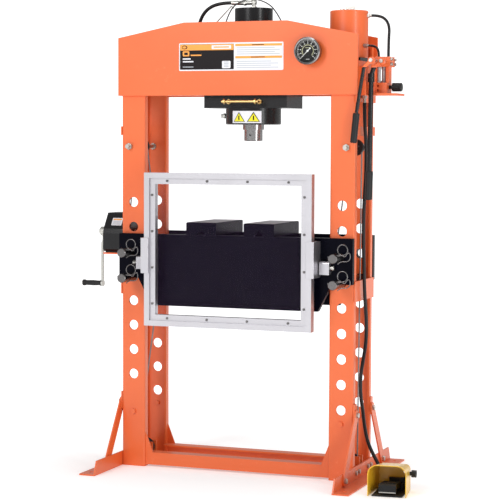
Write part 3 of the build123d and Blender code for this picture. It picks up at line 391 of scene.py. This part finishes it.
# ---- Lift ropes ---------------------------------------------------------------------------------
# Two galvanised wire ropes, six strands laid round a core, raise the two ends of the bed together.
# Each is drawn as the lengths that stay on the frame and the lengths that shorten with the bed.
ROPE_Y = -0.007
ROPE_RADIUS = 0.003
ROPE_LAY = tau / 0.022
TOP_WRAP = 0.025
LOW_WRAP = 0.033
TOP_LEFT, TOP_RIGHT = (-0.460, 1.304), (0.460, 1.304)
LOW_LEFT, LOW_RIGHT = (-0.443, 0.060), (0.443, 0.060)
rope_steel = finish("galvanised_rope", (0.30, 0.30, 0.30), (0.20, 0.20, 0.20), (0.5, 0.5, 0.5), 0.35,
                    metallic=0.9, grain=1500, depth=0.00005)


def wrap(centre, radius, first, last, steps=24):
    """Points of the rope on a wheel, from one angle to another in degrees."""
    angles = [radians(first + (last - first) * k / steps) for k in range(steps + 1)]
    return [Vector((centre[0] + radius * cos(a), ROPE_Y, centre[1] + radius * sin(a))) for a in angles]


def strand_outline(lobes=6, steps=24):
    """Section of a rope of round strands."""
    return [(ROPE_RADIUS * (0.86 + 0.14 * abs(cos(lobes * k * pi / steps))) * cos(tau * k / steps),
             ROPE_RADIUS * (0.86 + 0.14 * abs(cos(lobes * k * pi / steps))) * sin(tau * k / steps))
            for k in range(steps)]


def rope_length(name, corners):
    length = sum((two - one).length for one, two in zip(corners, corners[1:]))
    rope = swept(name, resample(corners, int(length / 0.0022)), strand_outline(), ROPE_LAY)
    rope.data.materials.append(rope_steel)
    return rope


over_left = wrap(TOP_LEFT, TOP_WRAP, 174.4, 7.3)
rise = rope_length("lift_rope_a_rise", [Vector((-0.520, ROPE_Y, 0.950))] + over_left)
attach(rise, "root")
fall = rope_length("lift_rope_a_fall", [over_left[-1], Vector((-0.388, ROPE_Y, 0.941))])
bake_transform(fall)
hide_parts("lift_rope_a")
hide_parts("lift_rope_a")

under_left = wrap(LOW_LEFT, LOW_WRAP, 172, 270)
under_right = wrap(LOW_RIGHT, LOW_WRAP, 270, 359.6)
over_right = wrap(TOP_RIGHT, TOP_WRAP, -0.4, 172.7)
left_run = rope_length("lift_rope_b_left", [Vector((-0.388, ROPE_Y, 0.689)), under_left[0]])
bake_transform(left_run)
held_run = rope_length("lift_rope_b_frame", under_left + under_right + over_right)
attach(held_run, "root")
right_run = rope_length("lift_rope_b_right", [over_right[-1], Vector((0.388, ROPE_Y, 0.941))])
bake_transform(right_run)
for run in (left_run, held_run, right_run):
    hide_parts("lift_rope_b")

# ---- Frame --------------------------------------------------------------------------------------
# Columns, crown, feet, braces and shelves: bent and cut steel plate, welded and bolted, and powder
# coated orange. The coat is smooth and fairly glossy.
orange_coat = finish("orange_powder_coat", (0.80, 0.150, 0.036), (0.74, 0.122, 0.026),
                     (0.93, 0.36, 0.18), 0.33, scuffing=0.35, dust=0.06, grain=420, depth=0.00006,
                     coat=0.15, coat_roughness=0.15)
dress(orange_coat, "left_column", "right_column", "crown_plates", "feet", "base_ties", "winch_shelf",
      "pump_bracket", "oil_tank")

BEAD_SIDES = 10
STEPS_A_RIPPLE = 6
BEAD_END = 0.3


def weld_bead(name, start, end, radius, body, material, ripple=0.006):
    """A rippled weld bead between two points, half sunk in the joint."""
    start, end = Vector(start), Vector(end)
    count = max(int((end - start).length / (ripple / STEPS_A_RIPPLE)), 12)
    steps = [start.lerp(end, k / count) for k in range(count + 1)]
    bead = swept(name, steps, circle(radius, BEAD_SIDES))
    for number in range(count + 1):
        ripple_scale = 0.80 + 0.20 * abs(sin(pi * number * (end - start).length / (count * ripple)))
        if number in (0, count):
            ripple_scale = BEAD_END
        for corner in range(BEAD_SIDES):
            vertex = bead.data.vertices[number * BEAD_SIDES + corner]
            vertex.co = steps[number] + (vertex.co - steps[number]) * ripple_scale
    bead.data.materials.append(material)
    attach(bead, body)


WELD_X, WELD_Z = 0.4935, 0.007
WELD_NEAR, WELD_FAR = 0.060, 0.120
for side_name, side in (("left", -1), ("right", 1)):
    for end_name, end in (("front", -1), ("rear", 1)):
        weld_bead(f"foot_weld_{side_name}_{end_name}", (side * WELD_X, end * WELD_NEAR, WELD_Z),
                  (side * WELD_X, end * WELD_FAR, WELD_Z), 0.003, "root", orange_coat)

zinc_plate = finish("zinc_plate", (0.55, 0.54, 0.50), (0.42, 0.42, 0.40), (0.75, 0.75, 0.74), 0.32,
                    metallic=1.0, scuffing=0.5, grain=1800, depth=0.00003)
dress(zinc_plate, "frame_bolts")


def dress_part(node, material, chosen):
    """A second finish for the faces of a CAD node whose middle is chosen."""
    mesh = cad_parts[node].data
    mesh.materials.append(material)
    index = len(mesh.materials) - 1
    for polygon in mesh.polygons:
        middle = sum((mesh.vertices[k].co for k in polygon.vertices), Vector()) / len(polygon.vertices)
        if chosen(middle, polygon.normal):
            polygon.material_index = index


PAINTED_BOLTS = (0.20, 0.25)
dress_part("frame_bolts", orange_coat, lambda place, normal: PAINTED_BOLTS[0] < place.z < PAINTED_BOLTS[1])
sheave_black = finish("sheave_black", (0.010, 0.010, 0.010), (0.018, 0.018, 0.018), (0.2, 0.2, 0.2), 0.45,
                      scuffing=0.6, dust=0.15, grain=700, depth=0.00008)
dress(sheave_black, "left_top_sheave", "right_top_sheave", "left_bottom_sheave", "right_bottom_sheave")

# ---- Crown label --------------------------------------------------------------------------------
# A printed vinyl label stuck on the front of the crown: a dark half with an orange head band and a
# pale half with two orange bands. Its print is left as plain bars and shapes.
white_print = finish("white_vinyl", (0.74, 0.74, 0.78), (0.69, 0.69, 0.73), (0.7, 0.7, 0.7), 0.35, dust=0)
black_print = finish("black_vinyl", (0.007, 0.005, 0.006), (0.011, 0.008, 0.009), (0.1, 0.1, 0.1), 0.40,
                     dust=0, specular=0.15)
amber_print = finish("amber_vinyl", (0.87, 0.36, 0.05), (0.82, 0.31, 0.04), (0.9, 0.5, 0.2), 0.35, dust=0)
grey_print = finish("grey_vinyl", (0.42, 0.45, 0.48), (0.38, 0.41, 0.45), (0.7, 0.7, 0.7), 0.35, dust=0)


def box_outline(left, low, right, high, corner=0.0):
    """A rectangle, with rounded corners where corner is over 0."""
    if corner == 0:
        return [(left, low), (right, low), (right, high), (left, high)]
    centres = ((right - corner, low + corner, -90), (right - corner, high - corner, 0),
               (left + corner, high - corner, 90), (left + corner, low + corner, 180))
    return [(x + corner * cos(radians(first + 18 * k)), z + corner * sin(radians(first + 18 * k)))
            for x, z, first in centres for k in range(6)]


def oval(u, v, wide, high, steps=28):
    return [(u + wide * cos(tau * k / steps), v + high * sin(tau * k / steps)) for k in range(steps)]


def shaped_piece(name, shape, materials, body):
    """Turn a finished bmesh into a piece that rides on a body."""
    mesh = bpy.data.meshes.new(name)
    shape.to_mesh(mesh)
    shape.free()
    for material in materials:
        mesh.materials.append(material)
    piece = bpy.data.objects.new(name, mesh)
    bpy.context.scene.collection.objects.link(piece)
    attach(piece, body)


def printed(name, body, origin, across, up, marks, inks):
    """Thin raised shapes on a flat face. Each mark is an outline, its lift off the face and its ink."""
    origin, across, up = Vector(origin), Vector(across), Vector(up)
    normal = across.cross(up)
    shape = bmesh.new()
    for outline, lift, ink in marks:
        base = [shape.verts.new(origin + across * u + up * v) for u, v in outline]
        top = [shape.verts.new(origin + across * u + up * v + normal * lift) for u, v in outline]
        shape.faces.new(top).material_index = ink
        for k in range(len(outline)):
            ahead = (k + 1) % len(outline)
            shape.faces.new((base[k], base[ahead], top[ahead], top[k])).material_index = ink
    shaped_piece(name, shape, inks, body)


WHITE, BLACK, AMBER, GREY = range(4)
crown_marks = [
    (box_outline(0, 0, 0.441, 0.110, 0.005), 0.0004, WHITE),
    (box_outline(0.004, 0.005, 0.234, 0.105, 0.003), 0.0006, BLACK),
    (box_outline(0.005, 0.081, 0.233, 0.104, 0.002), 0.0007, AMBER),
    (oval(0.024, 0.093, 0.012, 0.0075), 0.0008, BLACK),
    (oval(0.023, 0.093, 0.0085, 0.0045), 0.0009, AMBER),
    (box_outline(0.140, 0.085, 0.222, 0.100, 0.002), 0.0008, WHITE),
    (box_outline(0.148, 0.090, 0.214, 0.095), 0.0009, AMBER),
    (box_outline(0.016, 0.058, 0.044, 0.078, 0.004), 0.0008, AMBER),
    (box_outline(0.022, 0.063, 0.038, 0.073, 0.003), 0.0009, BLACK),
    (box_outline(0.050, 0.059, 0.096, 0.064), 0.0008, AMBER),
    (box_outline(0.016, 0.045, 0.050, 0.050), 0.0008, WHITE),
    (box_outline(0.016, 0.034, 0.062, 0.039), 0.0008, WHITE),
    (box_outline(0.016, 0.014, 0.062, 0.017), 0.0008, GREY),
    (box_outline(0.184, 0.009, 0.220, 0.038, 0.004), 0.0008, WHITE),
    (box_outline(0.240, 0.095, 0.435, 0.104), 0.0006, AMBER),
    (box_outline(0.240, 0.047, 0.435, 0.056), 0.0006, AMBER),
    (box_outline(0.310, 0.098, 0.360, 0.101), 0.0008, BLACK),
    (box_outline(0.306, 0.050, 0.364, 0.053), 0.0008, BLACK),
]
crown_marks += [(box_outline(0.192, 0.014 + 0.006 * k, 0.212, 0.017 + 0.006 * k), 0.0009, GREY)
                for k in range(4)]
for low_line, right_end, indent in ((0.063, 0.425, 0.02), (0.010, 0.420, 0.03)):
    crown_marks += [(box_outline(0.246, low_line + 0.008 * k, right_end - indent * (k % 2),
                                 low_line + 0.0025 + 0.008 * k), 0.0005, GREY) for k in range(4)]
inks = (white_print, black_print, amber_print, grey_print)
printed("crown_label", "root", (-0.238, -0.137, 1.605), (1, 0, 0), (0, 0, 1), crown_marks,
        inks)

# ---- Pressure gauge -----------------------------------------------------------------------------
# A liquid gauge let into the crown: pressed steel case, bright bezel, black dial with two scales
# printed in white and cream, a white needle and a flat clear lens.
bright_bezel = finish("bright_bezel", (0.36, 0.36, 0.36), (0.22, 0.22, 0.22), (0.9, 0.9, 0.9), 0.12,
                      metallic=1.0, scuffing=0.2, dust=0, grain=2400)
dial_black = finish("dial_black", (0.008, 0.008, 0.008), (0.012, 0.012, 0.012), (0.1, 0.1, 0.1), 0.45, dust=0,
                    specular=0.2)
dial_cream = finish("dial_cream", (0.55, 0.55, 0.36), (0.5, 0.5, 0.3), (0.7, 0.7, 0.5), 0.5, dust=0)
needle_white = finish("needle_white", (0.88, 0.88, 0.86), (0.8, 0.8, 0.78), (0.7, 0.7, 0.7), 0.35, dust=0)
dress(dial_black, "gauge_case")
dress(bright_bezel, "gauge_bezel")
dress(needle_white, "gauge_needle")
GAUGE = (0.312, 1.676)


def ring_mark(inner, outer, first, last, steps):
    """A band of a ring between two angles in degrees."""
    angles = [radians(first + (last - first) * k / steps) for k in range(steps + 1)]
    return ([(outer * cos(a), outer * sin(a)) for a in angles]
            + [(inner * cos(a), inner * sin(a)) for a in reversed(angles)])


def tick_mark(angle, inner, outer, half):
    a = radians(angle)
    along, beside = (cos(a), sin(a)), (-sin(a), cos(a))
    return [(along[0] * reach + beside[0] * lean, along[1] * reach + beside[1] * lean)
            for reach, lean in ((inner, -half), (outer, -half), (outer, half), (inner, half))]


DIAL_START, DIAL_SWEEP = 225, 270
RING_PARTS = 18
dial_marks = [(tick_mark(DIAL_START - DIAL_SWEEP / 50 * k, 0.0385 if k % 5 else 0.0350, 0.0440,
                         0.0004 if k % 5 else 0.0008), 0.0003, 0) for k in range(51)]
for inner, outer, ink in ((0.0440, 0.0448, 0), (0.0215, 0.0235, 1)):
    dial_marks += [(ring_mark(inner, outer, -45 + 15 * k, -45 + 15 * (k + 1), 3), 0.0003, ink)
                   for k in range(RING_PARTS)]
dial_marks += [(tick_mark(DIAL_START - DIAL_SWEEP / 20 * k, 0.0235, 0.0265, 0.0005), 0.0003, 1)
               for k in range(21)]
for k in range(11):
    figure = radians(DIAL_START - DIAL_SWEEP / 10 * k)
    dial_marks.append(([(x + 0.0300 * cos(figure), z + 0.0300 * sin(figure))
                        for x, z in box_outline(-0.0022, -0.0014, 0.0022, 0.0014, 0.0007)], 0.0003, 0))
dial_marks += [(box_outline(-0.007, -0.033, 0.007, -0.031), 0.0003, 0),
               (box_outline(-0.010, 0.011, 0.010, 0.013), 0.0003, 1)]
printed("gauge_scales", "root", (GAUGE[0], -0.164, GAUGE[1]), (1, 0, 0), (0, 0, 1),
        dial_marks, (needle_white, dial_cream))


def clear_finish(name, tint, alpha, roughness):
    """Clear sheet: mostly see-through, with a gloss that strengthens at a glancing angle."""
    material = bpy.data.materials.new(name)
    material.use_nodes = True
    tree = material.node_tree
    shader = tree.nodes["Principled BSDF"]
    worn = tree.nodes.new("ShaderNodeGroup")
    worn.node_tree = worn_surface
    worn.inputs["Base"].default_value = (*tint, 1)
    worn.inputs["Shade"].default_value = (*tint, 1)
    worn.inputs["Scuff"].default_value = (0.9, 0.9, 0.9, 1)
    worn.inputs["Scuff Amount"].default_value = 0.3
    worn.inputs["Dust Amount"].default_value = 0.0
    worn.inputs["Roughness"].default_value = roughness
    shader.inputs["Specular IOR Level"].default_value = 0.2
    wire(tree, worn, "Color", shader, "Base Color")
    wire(tree, worn, "Roughness", shader, "Roughness")
    rim = tree.nodes.new("ShaderNodeLayerWeight")
    rim.inputs["Blend"].default_value = 0.12
    amount = tree.nodes.new("ShaderNodeMapRange")
    amount.inputs["To Min"].default_value = alpha
    amount.inputs["To Max"].default_value = 0.3
    wire(tree, rim, "Facing", amount, "Value")
    wire(tree, amount, "Result", shader, "Alpha")
    return material


dress(clear_finish("gauge_lens", (0.06, 0.06, 0.06), 0.01, 0.02), "gauge_glass")

# ---- Cylinder and carriage ----------------------------------------------------------------------
# The carriage is a thick black plate that slides along the crown. It carries the cylinder's turned
# black gland and barrel, the hard-chromed ram, its hose elbow and a brass pull rod. The crown's
# spacers share the black enamel.
black_gloss = finish("black_enamel", (0.005, 0.005, 0.006), (0.008, 0.008, 0.009), (0.10, 0.10, 0.10), 0.20,
                     scuffing=0.2, dust=0.04, grain=600, depth=0.00004, specular=0.35)
hard_chrome = finish("hard_chrome", (0.45, 0.44, 0.44), (0.34, 0.33, 0.33), (0.75, 0.75, 0.75), 0.14,
                     metallic=1.0, scuffing=0.4, dust=0, grain=1500)
brass_metal = finish("brass", (0.66, 0.46, 0.20), (0.55, 0.37, 0.15), (0.85, 0.75, 0.5), 0.24, metallic=1.0,
                     scuffing=0.5, grain=1800)
dress(black_gloss, "carriage_plate", "cylinder_gland", "cylinder_barrel", "crown_spacers")
dress(hard_chrome, "ram")
dress(zinc_plate, "head_fittings")
dress(brass_metal, "carriage_handle")

GLAND_X, GLAND_RADIUS = 0.028, 0.111
LABEL_START = radians(-117)
yellow_print = finish("yellow_vinyl", (0.80, 0.74, 0.02), (0.75, 0.68, 0.02), (0.9, 0.9, 0.3), 0.35, dust=0)


def curved_mark(shape, first, last, low, high, lift, ink, count=16):
    """A patch on the gland between two arc lengths; low and high give its edges along the arc."""
    rows = []
    for number in range(count + 1):
        share = number / count
        angle = LABEL_START + (first + (last - first) * share) / GLAND_RADIUS
        reach = GLAND_RADIUS + lift
        x, y = GLAND_X + reach * cos(angle), reach * sin(angle)
        rows.append((shape.verts.new((x, y, low(share))), shape.verts.new((x, y, high(share)))))
    for one, two in zip(rows, rows[1:]):
        shape.faces.new((one[0], two[0], two[1], one[1])).material_index = ink


YELLOW = 2
gland_label = bmesh.new()
curved_mark(gland_label, 0, 0.124, lambda s: 1.3985, lambda s: 1.4465, 0.0005, WHITE, 32)
for first in (0.006, 0.066):
    for grow, lift, ink in ((0.0, 0.0007, BLACK), (0.0035, 0.0009, YELLOW)):
        low_edge = 1.4035 + grow * 0.6
        peak = 1.4425 - grow * 1.6
        curved_mark(gland_label, first + grow * 1.3, first + 0.052 - grow * 1.3, lambda s: low_edge,
                    lambda s: low_edge + 0.0004 + (peak - low_edge) * (1 - abs(2 * s - 1)), lift, ink)
    curved_mark(gland_label, first + 0.0235, first + 0.0285, lambda s: 1.410, lambda s: 1.428, 0.0011,
                BLACK, 4)
shaped_piece("gland_label", gland_label, (white_print, black_print, yellow_print), "ram_head")

# ---- Bed, V-blocks and pins ---------------------------------------------------------------------
# Two thick plates with spacers between them, painted gloss black, hold two heavy V-blocks. Their flat
# tops get a paler steel, a painted highlight of the light from above. Plated pins with pull rings and
# spring clips hold the bed at its level.
bed_black = finish("bed_enamel", (0.0012, 0.0012, 0.0045), (0.0022, 0.0022, 0.0065),
                   (0.02, 0.02, 0.025), 0.22, scuffing=0.15, dust=0.01, grain=300, depth=0.000008,
                   specular=0.05)
# The flat tops of the V-blocks get this paler steel as a painted highlight of the light from above.
top_highlight_steel = finish("top_highlight_steel", (0.34, 0.33, 0.35), (0.27, 0.26, 0.28), (0.6, 0.6, 0.6), 0.38,
                      metallic=0.3, scuffing=0.6, grain=900)
dress(bed_black, "bed_plates", "bed_spacers", "v_blocks")
dress_part("v_blocks", top_highlight_steel, lambda place, normal: normal.z > 0.99)
pin_steel = finish("pin_steel", (0.20, 0.19, 0.19), (0.12, 0.115, 0.115), (0.5, 0.5, 0.5), 0.22, metallic=1.0,
                   scuffing=0.6, grain=1200)
dress(pin_steel, "upper_pin_left", "upper_pin_right", "lower_pin_left", "lower_pin_right")
PIN_X = 0.443
PIN_LEVELS = (("upper", 0.879), ("lower", 0.7773))
CLIP_PATH = [(0.012, -0.235, 0.012), (0.030, -0.237, 0.020), (0.048, -0.237, 0.006), (0.056, -0.238, 0.022),
             (0.068, -0.237, 0.026), (0.070, -0.236, 0.004), (0.058, -0.235, -0.010),
             (0.030, -0.235, -0.008), (0.018, -0.236, -0.020)]
for side_name, side in (("left", -1), ("right", 1)):
    for level_name, level in PIN_LEVELS:
        clip_path = [(side * PIN_X + x, y, level + z) for x, y, z in CLIP_PATH]
        clip = swept(f"{level_name}_{side_name}_clip", along_curve(clip_path, 60), circle(0.0019, 10))
        clip.data.materials.append(pin_steel)
        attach(clip, f"{level_name}_pin_{side_name[0]}")

# ---- Guard --------------------------------------------------------------------------------------
# A mitred frame of aluminium extrusion holds a clear polycarbonate sheet. It slides in two guides on
# the bed and is held up by sprung latches.
aluminium = finish("anodised_aluminium", (0.60, 0.59, 0.62), (0.50, 0.49, 0.52), (0.70, 0.70, 0.72), 0.30,
                   metallic=0.9, scuffing=0.5, dust=0.04, grain=1400, depth=0.00003)
dress(aluminium, "guard_frame", "guard_guides")
socket_black = finish("black_oxide", (0.012, 0.012, 0.012), (0.02, 0.02, 0.02), (0.1, 0.1, 0.1), 0.4,
                      metallic=0.3, grain=1200)
SCREW_X, SCREW_LEVELS, SCREW_REACH = 0.332, (0.833, 0.915), 0.0074
SCREW_FRONT = -0.1501
dress_part("guard_guides", socket_black,
           lambda place, normal: abs(abs(place.x) - SCREW_X) < SCREW_REACH and place.y < SCREW_FRONT
           and min(abs(place.z - level) for level in SCREW_LEVELS) < SCREW_REACH)
dress(clear_finish("polycarbonate", (0.10, 0.06, 0.13), 0.03, 0.05), "guard_panel")
dress(pin_steel, "guard_screws")
dress(zinc_plate, "latch_plunger_left", "latch_plunger_right")

# ---- Winch --------------------------------------------------------------------------------------
# A hand winch under a folded steel cover on the left column: drum with ratchet, pawl, a flat plated
# crank and a turned black grip.
grip_black = finish("grip_plastic", (0.007, 0.007, 0.008), (0.012, 0.012, 0.012), (0.08, 0.08, 0.08), 0.40,
                    scuffing=0.4, grain=900, depth=0.00008, specular=0.3)
dress(black_gloss, "winch_cover", "winch_frame")
dress(zinc_plate, "winch_drum", "crank_arm", "winch_pawl")
dress(grip_black, "crank_grip")
COVER_SLOPE = (0, 44, 64)
facet_up = Vector(COVER_SLOPE).normalized()
winch_marks = [(box_outline(0.030, 0.016, 0.076, 0.052, 0.003), 0.0004, WHITE),
               (box_outline(0.034, 0.042, 0.072, 0.048), 0.0006, AMBER)]
winch_marks += [(box_outline(0.034, 0.020 + 0.005 * k, 0.070, 0.0225 + 0.005 * k), 0.0006, GREY)
                for k in range(4)]
printed("winch_label", "root", (-0.610, -0.056, 0.965), (1, 0, 0), tuple(facet_up),
        winch_marks, inks)

# ---- Pump ---------------------------------------------------------------------------------------
# An air-over-hydraulic pump on a bracket at the outer side of the right column: orange blocks, two
# pale cast cylinders, two hand levers with rubber grips and a release knob.
cast_silver = finish("cast_aluminium", (0.50, 0.50, 0.50), (0.40, 0.40, 0.41), (0.65, 0.65, 0.65), 0.42,
                     metallic=0.8, scuffing=0.5, dust=0.12, grain=700, depth=0.0001)
dress(orange_coat, "pump_body")
dress(cast_silver, "pump_cylinders")
dress(black_gloss, "lever_a", "lever_b")
dress(zinc_plate, "pump_screws", "oil_fittings")
dress(grip_black, "release_knob")
LEVER_HEAD = 1.612
for lever, grip_top in (("lever_a", 1.438), ("lever_b", 1.215)):
    dress_part(lever, grip_black, lambda place, normal: place.z < grip_top)
    dress_part(lever, orange_coat, lambda place, normal: place.z > LEVER_HEAD)

# ---- Pedal --------------------------------------------------------------------------------------
# The foot valve: a yellow pressed steel hood over a black base, with a ribbed black treadle on a pin.
yellow_enamel = finish("yellow_enamel", (0.86, 0.52, 0.03), (0.78, 0.44, 0.02), (0.9, 0.7, 0.3), 0.30,
                       scuffing=0.4, dust=0.08, grain=600, depth=0.00005, coat=0.3)
dress(yellow_enamel, "pedal_hood")
dress(grip_black, "pedal_base", "pedal_treadle")
TURN = radians(5.6)
RIB_COUNT, RIB_START, RIB_PITCH, RIB_WIDTH, RIB_HALF = 9, 0.026, 0.0095, 0.004, 0.030
TREAD_TOP, TREAD_FALL, TREAD_START, TREAD_LENGTH = 0.046, 0.008, 0.020, 0.092
pedal_place = Matrix.Translation((0.696, -0.348, 0)) @ Matrix.Rotation(TURN, 4, "Z")
tread = bmesh.new()
for number in range(RIB_COUNT):
    along = RIB_START + RIB_PITCH * number
    height = TREAD_TOP - TREAD_FALL * (along - TREAD_START) / TREAD_LENGTH
    corners = []
    for y, z in ((along, height - 0.001), (along, height + 0.0016), (along + RIB_WIDTH, height + 0.0013),
                 (along + RIB_WIDTH, height - 0.001)):
        corners.append([tread.verts.new(pedal_place @ Vector((x, y, z))) for x in (-RIB_HALF, RIB_HALF)])
    for one, two in zip(corners, corners[1:]):
        tread.faces.new((one[0], one[1], two[1], two[0]))
    tread.faces.new([pair[0] for pair in corners])
    tread.faces.new([pair[1] for pair in reversed(corners)])
shaped_piece("treadle_ribs", tread, (grip_black,), "treadle")

LIP_PROFILE = ((0.0114, 0.0125), (0.0114, 0.0160), (0.0119, 0.0165), (0.0119, 0.0120))
LIP_ACROSS = (-0.032, -0.016, 0.0, 0.016, 0.032)
lip = bmesh.new()
lip_corners = [[lip.verts.new(pedal_place @ Vector((x, y, z))) for x in LIP_ACROSS] for y, z in LIP_PROFILE]
for one, two in zip(lip_corners, lip_corners[1:] + lip_corners[:1]):
    for k in range(len(LIP_ACROSS) - 1):
        lip.faces.new((one[k], one[k + 1], two[k + 1], two[k]))
lip.faces.new([row[0] for row in lip_corners])
lip.faces.new([row[-1] for row in reversed(lip_corners)])
shaped_piece("treadle_lip", lip, (zinc_plate,), "treadle")

# ---- Hose stays ---------------------------------------------------------------------------------
# A bent plated wire from the cylinder's head props the hose up where it leaves the elbow.
stay_path = [Vector((-0.147, 0, 1.790)), Vector((-0.068, 0, 1.868)), Vector((-0.058, 0, 1.859))]
stay = swept("hose_stay_wire", resample(stay_path, 40), circle(0.0025, 10))
stay.data.materials.append(zinc_plate)
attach(stay, "ram_head")
